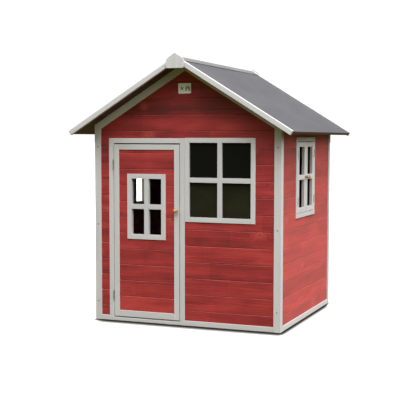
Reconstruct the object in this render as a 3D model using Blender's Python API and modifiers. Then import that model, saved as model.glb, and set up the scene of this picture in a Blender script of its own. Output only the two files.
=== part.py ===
"""Timber playhouse: four boarded wall panels with grey trims, a gabled felt roof, a hinged door and
two pairs of hinged window sashes.

Metres, +Z up. The origin is on the ground at the centre of the footprint, the front (door and gable)
faces -Y and +X is to the right of someone facing the door.
"""

import math

import bmesh
import bpy
from mathutils import Matrix, Vector

# ---------------------------------------------------------------- driving dimensions
HALF_W = 0.595            # centre to outer face of the side trims
HALF_D = 0.555            # centre to outer face of the front and rear trims
ROOF_HALF_W = 0.700       # centre to the eave tips
ROOF_HALF_D = 0.700       # centre to the outer face of the apex plates
RIDGE_Z = 1.584           # top of the barge boards where they meet
EAVE_Z = 1.155            # top corner of the barge boards at the eaves
TOP_Z = 1.600             # tip of the apex plates

GAP = 0.0003              # between pieces that touch
TRIM_W, TRIM_T = 0.042, 0.014          # corner and rake trims
PLANK_RECESS, PLANK_T = 0.005, 0.014   # boards sit behind the trim faces
BATTEN_T = 0.024                       # battens on the inside of the boards
FRAME_T = 0.0184                       # window frames, door trims and sashes
BASE_H, BASE_T = 0.030, 0.028          # base rails
THRESHOLD_Z = 0.020                    # base rail under the door

BARGE_H, BARGE_T = 0.0295, 0.020       # square to the slope, and along Y
APEX_T = 0.0077
FELT_DROP, FELT_T = 0.0046, 0.003      # the felt lies this far below the barge tops
DECK_T = 0.015
RAFTER_W, RAFTER_T = 0.030, 0.024
CAP_W, CAP_T = 0.052, 0.0033           # ridge cap, down each slope

DOOR_X = (-0.4983, -0.0003)            # outside of the door trims
DOOR_TOP = 1.1125
DOOR_TRIM = 0.0303
LEAF_X, LEAF_Z = (-0.465, -0.0345), (0.027, 1.0755)
LEAF_OPEN_X, LEAF_OPEN_Z = (-0.431, -0.068), (0.0655, 1.0435)
LEAF_T = 0.0179
DOOR_WIN_X, DOOR_WIN_Z = (-0.3765, -0.1235), (0.505, 0.899)
DOOR_WIN_BAR, DOOR_WIN_T = 0.029, 0.026
DOOR_AXIS = (-0.4665, -0.5590)
DOOR_HINGE_Z, DOOR_HINGE_LEN = (0.158, 0.954), 0.060
BARREL_R, PIN_R, BORE_R = 0.0034, 0.0016, 0.0017
DOOR_KNOB = (-0.0515, 0.685)
DOOR_LEDGES = ((0.100, 0.140), (0.430, 0.470), (0.945, 0.985))

WIN_X, WIN_Z = (0.0003, 0.4395), (0.620, 1.1148)
WIN_BAR = 0.0285
PANE_T = 0.003

SIDE_WIN_Y, SIDE_WIN_Z = (-0.248, 0.165), (0.6335, 1.121)     # outside of the side window frames
SIDE_OPEN_Y, SIDE_OPEN_Z = (-0.222, 0.139), (0.660, 1.0945)   # opening that the sashes fill
SASH_Z = (0.663, 1.0915)
SASH_GAP, SASH_MEET = 0.003, 0.002     # to the frame, and half of the gap where they meet
SASH_STILE, SASH_MEETING_STILE, SASH_RAIL = 0.030, 0.032, 0.0295
SASH_AXIS_OUT, SASH_BARREL_R = 0.004, 0.0028
SASH_HINGE_Z, SASH_HINGE_LEN = (0.735, 1.017), 0.048
SASH_KNOB_Z = 0.878

PLAQUE_W, PLAQUE_H, PLAQUE_T, PLAQUE_Z = 0.080, 0.060, 0.004, 1.404

FLOOR_TOP, FLOOR_T, BEARER_W = 0.030, 0.018, 0.045
BEARER_Y = (-0.40, 0.0, 0.40)

SLOPE = (RIDGE_Z - EAVE_Z) / ROOF_HALF_W
TILT = math.atan(SLOPE)

# ---------------------------------------------------------------- scene, materials, helpers
for old in list(bpy.data.objects):
    bpy.data.objects.remove(old, do_unlink=True)
parts = bpy.data.collections.new("Playhouse")
helpers = bpy.data.collections.new("Cutters")
bpy.context.scene.collection.children.link(parts)
bpy.context.scene.collection.children.link(helpers)


def material(name, colour, roughness, metallic=0.0, alpha=1.0):
    made = bpy.data.materials.new(name)
    made.use_nodes = True
    shader = made.node_tree.nodes["Principled BSDF"]
    shader.inputs["Base Color"].default_value = (*colour, 1.0)
    shader.inputs["Roughness"].default_value = roughness
    shader.inputs["Metallic"].default_value = metallic
    shader.inputs["Alpha"].default_value = alpha
    return made


RED = material("red_timber", (0.33, 0.033, 0.033), 0.72)
GREY = material("grey_timber", (0.50, 0.51, 0.48), 0.62)
BROWN = material("roof_boards", (0.060, 0.032, 0.026), 0.75)
FELT = material("roof_felt", (0.235, 0.240, 0.262), 0.92)
NATURAL = material("natural_timber", (0.62, 0.36, 0.15), 0.45)
PALE = material("floor_timber", (0.46, 0.33, 0.20), 0.7)
STEEL = material("hinge_steel", (0.45, 0.45, 0.44), 0.38, 0.9)
ACRYLIC = material("acrylic", (0.03, 0.034, 0.03), 0.06, 0.0, 0.75)
PLATE = material("plaque_plastic", (0.58, 0.60, 0.60), 0.45)


def add(name, mesh, paint=None, helper=False):
    obj = bpy.data.objects.new(name, mesh)
    (helpers if helper else parts).objects.link(obj)
    if paint:
        mesh.materials.append(paint)
    if helper:
        obj.hide_render = True
        obj.display_type = "WIRE"
    return obj


def box(name, low, high, paint=None, helper=False):
    """A cube primitive, sized and placed by its two corners."""
    low, high = Vector(low), Vector(high)
    mesh = bpy.data.meshes.new(name)
    cube = bmesh.new()
    bmesh.ops.create_cube(cube, size=1.0)
    bmesh.ops.scale(cube, vec=high - low, verts=cube.verts)
    cube.to_mesh(mesh)
    cube.free()
    obj = add(name, mesh, paint, helper)
    obj.location = (low + high) / 2
    return obj


def outline(name, loops, low, high, plane="XZ", paint=None, helper=False):
    """A flat outline, with holes where later loops lie inside the first, extruded from low to high.
    plane XZ: loops are (x, z) and the thickness runs along Y. YZ: loops are (y, z), along X. XY: along Z."""
    curve = bpy.data.curves.new(name, "CURVE")
    curve.dimensions = "2D"
    curve.fill_mode = "BOTH"
    curve.extrude = (high - low) / 2
    for loop in loops:
        spline = curve.splines.new("POLY")
        spline.points.add(len(loop) - 1)
        for point, (u, v) in zip(spline.points, loop):
            point.co = (u, v, 0.0, 1.0)
        spline.use_cyclic_u = True
    drawn = bpy.data.objects.new(name + "_outline", curve)
    helpers.objects.link(drawn)
    bpy.context.view_layer.update()
    graph = bpy.context.evaluated_depsgraph_get()
    mesh = bpy.data.meshes.new_from_object(drawn.evaluated_get(graph))
    mesh.name = name
    bpy.data.objects.remove(drawn, do_unlink=True)
    centre = (low + high) / 2
    if plane == "XZ":
        turn = Matrix(((1, 0, 0, 0), (0, 0, -1, centre), (0, 1, 0, 0), (0, 0, 0, 1)))
    elif plane == "YZ":
        turn = Matrix(((0, 0, 1, centre), (1, 0, 0, 0), (0, 1, 0, 0), (0, 0, 0, 1)))
    else:
        turn = Matrix.Translation((0, 0, centre))
    shape = bmesh.new()
    shape.from_mesh(mesh)
    bmesh.ops.remove_doubles(shape, verts=shape.verts, dist=1e-6)
    bmesh.ops.transform(shape, matrix=turn, verts=shape.verts)
    bmesh.ops.recalc_face_normals(shape, faces=shape.faces)
    shape.to_mesh(mesh)
    shape.free()
    mesh.materials.clear()
    return add(name, mesh, paint, helper)


def rod(name, centre, radius, length, sides=24, paint=None, helper=False):
    """A vertical cylinder centred at centre."""
    mesh = bpy.data.meshes.new(name)
    shape = bmesh.new()
    bmesh.ops.create_cone(shape, cap_ends=True, segments=sides, radius1=radius, radius2=radius, depth=length)
    shape.to_mesh(mesh)
    shape.free()
    obj = add(name, mesh, paint, helper)
    obj.location = centre
    return obj


def boolean(obj, operation, others):
    for other in others:
        modifier = obj.modifiers.new(operation.title(), "BOOLEAN")
        modifier.operation = operation
        modifier.solver = "EXACT"
        modifier.object = other


def turned(name, profile, location, rotation, paint, steps=28):
    """A solid of revolution: profile is (radius, height) from the top of its outer side to the bottom, on its own Z."""
    mesh = bpy.data.meshes.new(name)
    mesh.from_pydata([(r, 0.0, h) for r, h in profile], [(k, k + 1) for k in range(len(profile) - 1)], [])
    obj = add(name, mesh, paint)
    screw = obj.modifiers.new("Screw", "SCREW")
    screw.axis = "Z"
    screw.angle = 2 * math.pi
    screw.steps = screw.render_steps = steps
    screw.use_merge_vertices = True
    screw.merge_threshold = 1e-5
    screw.use_smooth_shade = True
    obj.location = location
    obj.rotation_euler = rotation
    return obj


def rect(u, v):
    return [(u[0], v[0]), (u[1], v[0]), (u[1], v[1]), (u[0], v[1])]


def grow(pair, by):
    return (pair[0] - by, pair[1] + by)


def grid_loops(u, v, bar, columns=2, rows=2):
    """The outline of a glazed frame and its openings, all bars and members equally wide."""
    wide = (u[1] - u[0] - bar * (columns + 1)) / columns
    tall = (v[1] - v[0] - bar * (rows + 1)) / rows
    loops = [rect(u, v)]
    for i in range(columns):
        for j in range(rows):
            a, b = u[0] + bar + i * (wide + bar), v[0] + bar + j * (tall + bar)
            loops.append(rect((a, a + wide), (b, b + tall)))
    return loops


def roof_z(x, down):
    """Height of the line lying down (square to the slope) below the barge tops."""
    return RIDGE_Z - abs(x) * SLOPE - down / math.cos(TILT)


def slope_point(side, along, down):
    """A point along the slope from the ridge line, down below the barge tops."""
    return (side * (along * math.cos(TILT) - down * math.sin(TILT)), RIDGE_Z - along * math.sin(TILT) - down * math.cos(TILT))


def slope_band(side, down, start_x, end_along):
    """Outline of a board lying on the slope: plumb cut near the ridge, square cut at the eave."""
    top, bottom = down
    return [
        (side * start_x, roof_z(start_x, top)),
        slope_point(side, end_along, top),
        slope_point(side, end_along, bottom),
        (side * start_x, roof_z(start_x, bottom)),
    ]


def empty(name, location):
    obj = bpy.data.objects.new(name, None)
    obj.empty_display_size = 0.05
    obj.location = location
    parts.objects.link(obj)
    return obj


def hang(obj, axis):
    obj.parent = axis
    obj.matrix_parent_inverse = Matrix.Translation(axis.location).inverted()


SLOPE_LEN = math.hypot(ROOF_HALF_W, RIDGE_Z - EAVE_Z)
DECK_TOP = FELT_DROP + FELT_T + GAP
DECK_BOTTOM = DECK_TOP + DECK_T
RAKE_TOP = DECK_BOTTOM + GAP
RAKE_BOTTOM = RAKE_TOP + TRIM_W
MITRE_OUT = (HALF_W, roof_z(HALF_W, RAKE_TOP))
MITRE_IN = (HALF_W - TRIM_W, roof_z(HALF_W - TRIM_W, RAKE_BOTTOM))
INNER = PLANK_RECESS + PLANK_T          # trim face to the back of the boards

# ---------------------------------------------------------------- gable walls
POST_X = (0.5435, HALF_W - INNER - 0.0005)


def gable_wall(name, end, opening):
    """Boards, corner posts and rake battens of the front (end -1) or rear (end 1) wall."""
    side = HALF_W - TRIM_W - GAP
    face, back = HALF_D - PLANK_RECESS, HALF_D - INNER
    left = [(-side, BASE_H + GAP), (-side, roof_z(side, RAKE_BOTTOM + GAP)), (0.0, roof_z(0.0, RAKE_BOTTOM + GAP))]
    right = [(side, roof_z(side, RAKE_BOTTOM + GAP)), (side, BASE_H + GAP)]
    wall = outline(name, [left + right + opening], *sorted((end * face, end * back)), "XZ", RED)
    joined = []

    def batten(label, x, z, near=back + 0.0003):
        y = sorted((end * near, end * (back - BATTEN_T)))
        joined.append(box(f"{name}_{label}", (x[0], y[0], z[0]), (x[1], y[1], z[1]), helper=True))

    post_top = roof_z(POST_X[1], RAKE_BOTTOM) + 0.01
    batten("post_left", (-POST_X[1], -POST_X[0]), (BASE_H + 0.0005, post_top), HALF_D - TRIM_T - 0.0005)
    batten("post_right", POST_X, (BASE_H + 0.0005, post_top), HALF_D - TRIM_T - 0.0005)
    reach = POST_X[1]
    band = [
        (-reach, roof_z(reach, RAKE_TOP + 0.0005)), (0.0, roof_z(0.0, RAKE_TOP + 0.0005)), (reach, roof_z(reach, RAKE_TOP + 0.0005)),
        (reach, roof_z(reach, RAKE_BOTTOM + 0.006)), (0.0, roof_z(0.0, RAKE_BOTTOM + 0.006)), (-reach, roof_z(reach, RAKE_BOTTOM + 0.006)),
    ]
    y = sorted((end * (HALF_D - TRIM_T - 0.0005), end * (back - BATTEN_T)))
    joined.append(outline(f"{name}_rake_batten", [band], y[0], y[1], "XZ", helper=True))
    if opening:
        batten("door_stop_left", (-0.507, -0.4575), (BASE_H + 0.0008, 1.124))
        batten("door_stop_right", (-0.0425, 0.012), (BASE_H + 0.0008, 1.124))
        batten("window_stud", (0.4255, 0.4555), (BASE_H + 0.0008, 1.124))
        batten("head_batten", (-0.5065, 0.4550), (1.066, 1.1245))
        batten("sill_batten", (0.005, 0.4545), (0.6045, 0.6325))
    else:
        for k, x in enumerate((-0.19, 0.19)):
            batten(f"stud_{k}", (x - 0.015, x + 0.015), (BASE_H + 0.0008, roof_z(x, RAKE_BOTTOM) - 0.004))
    boolean(wall, "UNION", joined)
    return wall


front_opening = [
    (WIN_X[0], BASE_H + GAP), (WIN_X[0], WIN_Z[0] - GAP), (WIN_X[1] + GAP, WIN_Z[0] - GAP), (WIN_X[1] + GAP, WIN_Z[1] + GAP),
    (0.0, WIN_Z[1] + GAP), (0.0, DOOR_TOP + GAP), (DOOR_X[0] - GAP, DOOR_TOP + GAP), (DOOR_X[0] - GAP, BASE_H + GAP),
]
gable_wall("front_wall", -1, front_opening)
gable_wall("rear_wall", 1, [])

# ---------------------------------------------------------------- side walls, with a window opening
SIDE_TOP = roof_z(HALF_W - PLANK_RECESS, DECK_BOTTOM) - 0.0006
SIDE_END = HALF_D - TRIM_W - GAP
for name, side in (("left_wall", -1), ("right_wall", 1)):
    face, back = HALF_W - PLANK_RECESS, HALF_W - INNER
    loops = [rect((-SIDE_END, SIDE_END), (BASE_H + GAP, SIDE_TOP)), rect(grow(SIDE_WIN_Y, GAP), grow(SIDE_WIN_Z, GAP))]
    wall = outline(name, loops, *sorted((side * face, side * back)), "YZ", RED)
    x = sorted((side * (back + 0.0003), side * (back - BATTEN_T)))
    battens = []
    for label, y, z in (
        ("end_front", (-0.5093, -0.4800), (BASE_H + 0.0008, SIDE_TOP - 0.004)),
        ("end_rear", (0.4800, 0.5093), (BASE_H + 0.0008, SIDE_TOP - 0.004)),
        ("stud_front", (-0.2555, -0.2135), (BASE_H + 0.0008, SIDE_TOP - 0.004)),
        ("stud_rear", (0.1305, 0.1725), (BASE_H + 0.0008, SIDE_TOP - 0.004)),
        ("sill", (-0.2550, 0.1720), (0.6205, 0.6690)),
        ("head", (-0.2550, 0.1720), (1.0855, 1.1340)),
        ("top_plate", (-0.5090, 0.5090), (SIDE_TOP - 0.034, SIDE_TOP - 0.0045)),
    ):
        battens.append(box(f"{name}_{label}", (x[0], y[0], z[0]), (x[1], y[1], z[1]), helper=True))
    boolean(wall, "UNION", battens)

# ---------------------------------------------------------------- corner trims, mitred to the rake trims
for end, front in (("front", -1), ("rear", 1)):
    for hand, side in (("left", -1), ("right", 1)):
        a, b = side * HALF_W, side * (HALF_W - TRIM_W)
        c = side * (HALF_W - TRIM_T)
        d, e, f = front * HALF_D, front * (HALF_D - TRIM_T), front * (HALF_D - TRIM_W)
        trim = outline(f"corner_trim_{end}_{hand}", [[(a, d), (b, d), (b, e), (c, e), (c, f), (a, f)]], 0.0, 1.230, "XY", GREY)
        under_roof = outline(
            f"corner_{end}_{hand}_roof_cut",
            [[(side * 0.50, roof_z(0.50, RAKE_TOP)), (side * 0.65, roof_z(0.65, RAKE_TOP)), (side * 0.65, 1.40), (side * 0.50, 1.40)]],
            *sorted((front * (HALF_D + 0.05), front * (HALF_D - 0.10))), "XZ", helper=True,
        )
        lean = (MITRE_OUT[1] - MITRE_IN[1]) / (MITRE_OUT[0] - MITRE_IN[0])
        mitre = outline(
            f"corner_{end}_{hand}_mitre_cut",
            [[(side * 0.50, MITRE_IN[1] - lean * (MITRE_IN[0] - 0.50)), (side * 0.65, MITRE_OUT[1] + lean * (0.65 - MITRE_OUT[0])), (side * 0.65, 1.40), (side * 0.50, 1.40)]],
            *sorted((front * (HALF_D + 0.05), front * (HALF_D - TRIM_T - 0.0004))), "XZ", helper=True,
        )
        boolean(trim, "DIFFERENCE", [under_roof, mitre])

# ---------------------------------------------------------------- rake trims under the gables
for end, front in (("front", -1), ("rear", 1)):
    y = sorted((front * HALF_D, front * (HALF_D - TRIM_T)))
    for hand, side in (("left", -1), ("right", 1)):
        apart = GAP / 2
        drop = 0.0004  # clear of the corner trim along the mitre
        loop = [
            (side * apart, roof_z(apart, RAKE_TOP)),
            (side * (MITRE_OUT[0] - 0.0006), roof_z(MITRE_OUT[0] - 0.0006, RAKE_TOP)),
            (side * (MITRE_IN[0] - 0.0004), roof_z(MITRE_IN[0] - 0.0004, RAKE_BOTTOM) + 0.0),
            (side * apart, roof_z(apart, RAKE_BOTTOM)),
        ]
        loop[1] = (loop[1][0], loop[1][1] + drop * 0.0)
        outline(f"rake_trim_{end}_{hand}", [loop], y[0], y[1], "XZ", GREY)

# ---------------------------------------------------------------- base rails
rail_x = HALF_W - TRIM_W - GAP
front_rail = outline(
    "base_rail_front",
    [[
        (-rail_x, 0.0), (rail_x, 0.0), (rail_x, BASE_H), (DOOR_X[1] - DOOR_TRIM, BASE_H), (DOOR_X[1] - DOOR_TRIM, THRESHOLD_Z),
        (DOOR_X[0] + DOOR_TRIM, THRESHOLD_Z), (DOOR_X[0] + DOOR_TRIM, BASE_H), (-rail_x, BASE_H),
    ]],
    -HALF_D, -HALF_D + BASE_T, "XZ", GREY,
)
box("base_rail_rear", (-rail_x, HALF_D - BASE_T, 0.0), (rail_x, HALF_D, BASE_H), GREY)
for hand, side in (("left", -1), ("right", 1)):
    x = sorted((side * HALF_W, side * (HALF_W - BASE_T)))
    box(f"base_rail_{hand}", (x[0], -SIDE_END, 0.0), (x[1], SIDE_END, BASE_H), GREY)

# ---------------------------------------------------------------- floor boards on three bearers
inside_x, inside_y = HALF_W - BASE_T - GAP, HALF_D - BASE_T - GAP
floor = box("floor", (-inside_x, -inside_y, FLOOR_TOP - FLOOR_T), (inside_x, inside_y, FLOOR_TOP), PALE)
bearers = [
    box(f"floor_bearer_{k}", (-inside_x + 0.002, y - BEARER_W / 2, 0.0), (inside_x - 0.002, y + BEARER_W / 2, FLOOR_TOP - FLOOR_T + 0.004), helper=True)
    for k, y in enumerate(BEARER_Y)
]
boolean(floor, "UNION", bearers)

# ---------------------------------------------------------------- door trims and front window
y0, y1 = -HALF_D, -HALF_D + FRAME_T
box("door_trim_left", (DOOR_X[0], y0, BASE_H + GAP), (DOOR_X[0] + DOOR_TRIM, y1, DOOR_TOP), GREY)
box("door_trim_right", (DOOR_X[1] - DOOR_TRIM, y0, BASE_H + GAP), (DOOR_X[1], y1, DOOR_TOP), GREY)
box("door_trim_head", (DOOR_X[0] + DOOR_TRIM + GAP, y0, DOOR_TOP - DOOR_TRIM), (DOOR_X[1] - DOOR_TRIM - GAP, y1, DOOR_TOP), GREY)
outline("front_window_frame", grid_loops(WIN_X, WIN_Z, WIN_BAR), y0, y1 - PANE_T - GAP, "XZ", GREY)
box("front_window_pane", (WIN_X[0] + 0.004, y1 - PANE_T, WIN_Z[0] + 0.004), (WIN_X[1] - 0.004, y1, WIN_Z[1] - 0.004), ACRYLIC)

# ---------------------------------------------------------------- plaque on the gable
plaque = outline(
    "gable_plaque", [rect((-PLAQUE_W / 2, PLAQUE_W / 2), (PLAQUE_Z - PLAQUE_H / 2, PLAQUE_Z + PLAQUE_H / 2))],
    -HALF_D + PLANK_RECESS - GAP - PLAQUE_T, -HALF_D + PLANK_RECESS - GAP, "XZ", PLATE,
)

# ---------------------------------------------------------------- side window frames
for hand, side in (("left", -1), ("right", 1)):
    x = sorted((side * HALF_W, side * (HALF_W - FRAME_T)))
    outline(f"window_frame_{hand}", [rect(SIDE_WIN_Y, SIDE_WIN_Z), rect(SIDE_OPEN_Y, SIDE_OPEN_Z)], x[0], x[1], "YZ", GREY)

# ---------------------------------------------------------------- roof
deck_y = ROOF_HALF_D - APEX_T - GAP - BARGE_T - GAP
for hand, side in (("left", -1), ("right", 1)):
    deck = outline(f"roof_deck_{hand}", [slope_band(side, (DECK_TOP, DECK_BOTTOM), GAP / 2, SLOPE_LEN)], -deck_y, deck_y, "XZ", BROWN)
    rafters = []
    for k, y in enumerate((-0.25, 0.25)):
        loop = [
            (side * 0.030, roof_z(0.030, DECK_BOTTOM - 0.002)), (side * 0.545, roof_z(0.545, DECK_BOTTOM - 0.002)),
            (side * 0.545, roof_z(0.545, DECK_BOTTOM + RAFTER_T)), (side * 0.030, roof_z(0.030, DECK_BOTTOM + RAFTER_T)),
        ]
        rafters.append(outline(f"rafter_{hand}_{k}", [loop], y - RAFTER_W / 2, y + RAFTER_W / 2, "XZ", helper=True))
    boolean(deck, "UNION", rafters)
    outline(f"roof_felt_{hand}", [slope_band(side, (FELT_DROP, FELT_DROP + FELT_T), GAP / 2, SLOPE_LEN)], -deck_y, deck_y, "XZ", FELT)
    for end, front in (("front", -1), ("rear", 1)):
        y = sorted((front * (ROOF_HALF_D - APEX_T - GAP), front * (ROOF_HALF_D - APEX_T - GAP - BARGE_T)))
        outline(f"barge_board_{end}_{hand}", [slope_band(side, (0.0, BARGE_H), GAP / 2, SLOPE_LEN)], y[0], y[1], "XZ", GREY)

cap_top, cap_bottom = FELT_DROP - GAP - CAP_T, FELT_DROP - GAP
cap = [
    slope_point(-1, CAP_W, cap_top), (0.0, roof_z(0.0, cap_top)), slope_point(1, CAP_W, cap_top),
    slope_point(1, CAP_W, cap_bottom), (0.0, roof_z(0.0, cap_bottom)), slope_point(-1, CAP_W, cap_bottom),
]
outline("ridge_cap", [cap], -deck_y, deck_y, "XZ", FELT)

apex_half = [(0.0, 0.0), (0.042, -0.026), (0.055, -0.042), (0.0585, -0.062), (0.057, -0.076), (0.051, -0.0885)]
apex_tops = {"front": TOP_Z, "rear": RIDGE_Z + 0.011}          # the rear plate sits a little lower
for end, front in (("front", -1), ("rear", 1)):
    y = sorted((front * ROOF_HALF_D, front * (ROOF_HALF_D - APEX_T)))
    top = apex_tops[end]
    apex = [(x, top + z) for x, z in apex_half] + [(-x, top + z) for x, z in reversed(apex_half[1:])]
    outline(f"apex_plate_{end}", [apex], y[0], y[1], "XZ", GREY)

# ---------------------------------------------------------------- door, turning on its left edge
door_axis = empty("door_axis", (*DOOR_AXIS, 0.5))
y0 = -HALF_D
leaf = outline("door_frame", [rect(LEAF_X, LEAF_Z), rect(LEAF_OPEN_X, LEAF_OPEN_Z)], y0, y0 + LEAF_T, "XZ", GREY)
panel = outline(
    "door_panel",
    [rect(grow(LEAF_OPEN_X, -GAP), grow(LEAF_OPEN_Z, -GAP)), rect(grow(DOOR_WIN_X, GAP), grow(DOOR_WIN_Z, GAP))],
    y0 + PLANK_RECESS, y0 + LEAF_T + 0.0006, "XZ", RED,
)
ledges = [
    box(f"door_ledge_{k}", (LEAF_X[0] + 0.0115, y0 + LEAF_T + 0.0003, z[0]), (LEAF_X[1] - 0.012, y0 + LEAF_T + 0.0183, z[1]), helper=True)
    for k, z in enumerate(DOOR_LEDGES)
]
boolean(panel, "UNION", ledges)
door_window = outline("door_window_frame", grid_loops(DOOR_WIN_X, DOOR_WIN_Z, DOOR_WIN_BAR), y0, y0 + DOOR_WIN_T, "XZ", GREY)
ball = [(0.0001, 0.0340)]
ball += [(0.0135 * math.sin(math.radians(a)), 0.0205 + 0.0135 * math.cos(math.radians(a))) for a in range(15, 151, 15)]
ball += [(0.0063, 0.0060), (0.0090, 0.0020), (0.0090, 0.0), (0.0001, 0.0)]
ball[0], ball[-1] = (0.0, 0.0340), (0.0, 0.0)
knob = turned("door_knob", ball, (DOOR_KNOB[0], y0 - GAP, DOOR_KNOB[1]), (math.radians(90), 0, 0), NATURAL)
moving = [leaf, panel, door_window, knob]

for label, z in zip(("bottom", "top"), DOOR_HINGE_Z):
    third = DOOR_HINGE_LEN / 3
    ax, ay = DOOR_AXIS
    fixed = box(
        f"door_hinge_fixed_{label}", (DOOR_X[0] + DOOR_TRIM + 0.0003, -0.5555 + 0.0003, z - DOOR_HINGE_LEN / 2),
        (DOOR_X[0] + DOOR_TRIM + 0.0013, -0.5385, z + DOOR_HINGE_LEN / 2), STEEL,
    )
    joined = [rod(f"hinge_pin_{label}", (ax, ay, z), PIN_R, DOOR_HINGE_LEN - 0.001, helper=True)]
    for k in (-1, 1):
        joined.append(rod(f"hinge_knuckle_{label}_{k}", (ax, ay, z + k * third), BARREL_R, third, helper=True))
        joined.append(box(
            f"hinge_tab_{label}_{k}", (DOOR_X[0] + DOOR_TRIM + 0.0004, ay, z + k * third - third / 2 + 0.0015),
            (DOOR_X[0] + DOOR_TRIM + 0.0012, -0.5540, z + k * third + third / 2 - 0.0015), helper=True,
        ))
    boolean(fixed, "UNION", joined)
    turning = rod(f"door_hinge_leaf_{label}", (ax, ay, z), BARREL_R, third - 0.0008, paint=STEEL)
    plate = box(f"hinge_plate_{label}", (LEAF_X[0] - 0.0013, -0.5550, z - DOOR_HINGE_LEN / 2 + 0.001), (LEAF_X[0] - 0.0003, -0.5390, z + DOOR_HINGE_LEN / 2 - 0.001), helper=True)
    tab = box(f"hinge_leaf_tab_{label}", (LEAF_X[0] - 0.0012, ay + 0.0024, z - third / 2 + 0.0015), (LEAF_X[0] - 0.0004, -0.5540, z + third / 2 - 0.0015), helper=True)
    boolean(turning, "UNION", [tab, plate])
    boolean(turning, "DIFFERENCE", [rod(f"hinge_bore_{label}", (ax, ay, z), BORE_R, third + 0.01, helper=True)])
    moving.append(turning)
bpy.context.view_layer.update()
for obj in moving:
    hang(obj, door_axis)

# ---------------------------------------------------------------- side window sashes, in pairs
meet_y = sum(SIDE_OPEN_Y) / 2
for hand, side in (("left", -1), ("right", 1)):
    x = sorted((side * HALF_W, side * (HALF_W - FRAME_T)))
    for end, hinge_y, outward in (("front", SIDE_OPEN_Y[0], 1), ("rear", SIDE_OPEN_Y[1], -1)):
        # outward: from the hinge towards the meeting stiles
        edge = hinge_y + outward * SASH_GAP
        meet = meet_y - outward * SASH_MEET
        open_a, open_b = edge + outward * SASH_STILE, meet - outward * SASH_MEETING_STILE
        tall = (SASH_Z[1] - SASH_Z[0] - 3 * SASH_RAIL) / 2
        low = (SASH_Z[0] + SASH_RAIL, SASH_Z[0] + SASH_RAIL + tall)
        high = (SASH_Z[1] - SASH_RAIL - tall, SASH_Z[1] - SASH_RAIL)
        glass = tuple(sorted((open_a, open_b)))
        sash = outline(f"sash_{hand}_{end}", [rect(tuple(sorted((edge, meet))), SASH_Z), rect(glass, low), rect(glass, high)], x[0], x[1], "YZ", GREY)
        pull = [(0.0, 0.0262)]
        pull += [(0.0100 * math.sin(math.radians(a)), 0.0162 + 0.0100 * math.cos(math.radians(a))) for a in range(18, 145, 18)]
        pull += [(0.0047, 0.0048), (0.0066, 0.0016), (0.0066, 0.0), (0.0, 0.0)]
        knob = turned(
            f"sash_knob_{hand}_{end}", pull, (side * (HALF_W + GAP), meet - outward * SASH_MEETING_STILE / 2, SASH_KNOB_Z),
            (0, side * math.radians(90), 0), NATURAL, steps=20,
        )
        ax, ay = side * (HALF_W + SASH_AXIS_OUT), hinge_y + outward * SASH_GAP / 2
        axis = empty(f"sash_axis_{hand}_{end}", (ax, ay, sum(SASH_Z) / 2))
        bpy.context.view_layer.update()
        hang(sash, axis)
        hang(knob, axis)
        for label, z in zip(("bottom", "top"), SASH_HINGE_Z):
            hinge = rod(f"sash_hinge_{hand}_{end}_{label}", (ax, ay, z), SASH_BARREL_R, SASH_HINGE_LEN, sides=20, paint=STEEL)
            py = sorted((hinge_y + outward * 0.0003, hinge_y + outward * 0.0013))
            px = sorted((side * (HALF_W + SASH_AXIS_OUT), side * (HALF_W - 0.0150)))
            leaf_plate = box(f"sash_plate_{hand}_{end}_{label}", (px[0], py[0], z - SASH_HINGE_LEN / 2 + 0.0005), (px[1], py[1], z + SASH_HINGE_LEN / 2 - 0.0005), helper=True)
            boolean(hinge, "UNION", [leaf_plate])

for obj in parts.objects:
    if obj.type == "MESH" and not obj.modifiers:
        obj.data.set_sharp_from_angle(angle=math.radians(30))
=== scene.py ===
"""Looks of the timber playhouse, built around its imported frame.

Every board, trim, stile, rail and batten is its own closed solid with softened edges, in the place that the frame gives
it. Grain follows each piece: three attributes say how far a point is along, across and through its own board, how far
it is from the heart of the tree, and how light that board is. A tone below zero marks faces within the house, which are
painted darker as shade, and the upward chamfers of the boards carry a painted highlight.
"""

import math
import random

import bmesh
import bpy
from mathutils import Matrix, Vector, noise


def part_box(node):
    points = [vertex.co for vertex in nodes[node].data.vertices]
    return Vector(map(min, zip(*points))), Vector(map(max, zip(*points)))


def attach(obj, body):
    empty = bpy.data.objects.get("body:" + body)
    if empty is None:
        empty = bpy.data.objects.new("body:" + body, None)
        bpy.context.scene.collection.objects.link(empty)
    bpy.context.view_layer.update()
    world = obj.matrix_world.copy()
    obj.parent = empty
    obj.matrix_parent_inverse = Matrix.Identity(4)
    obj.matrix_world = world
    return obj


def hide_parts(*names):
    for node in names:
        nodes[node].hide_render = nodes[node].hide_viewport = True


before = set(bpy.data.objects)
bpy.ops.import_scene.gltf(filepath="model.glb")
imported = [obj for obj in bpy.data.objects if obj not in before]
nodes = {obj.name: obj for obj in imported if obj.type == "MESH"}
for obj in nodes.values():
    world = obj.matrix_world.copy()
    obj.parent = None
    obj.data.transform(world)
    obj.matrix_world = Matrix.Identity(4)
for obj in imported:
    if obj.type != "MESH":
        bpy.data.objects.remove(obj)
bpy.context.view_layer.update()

scene = bpy.context.scene


def low(node):
    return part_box(node)[0]


def high(node):
    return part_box(node)[1]


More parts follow.
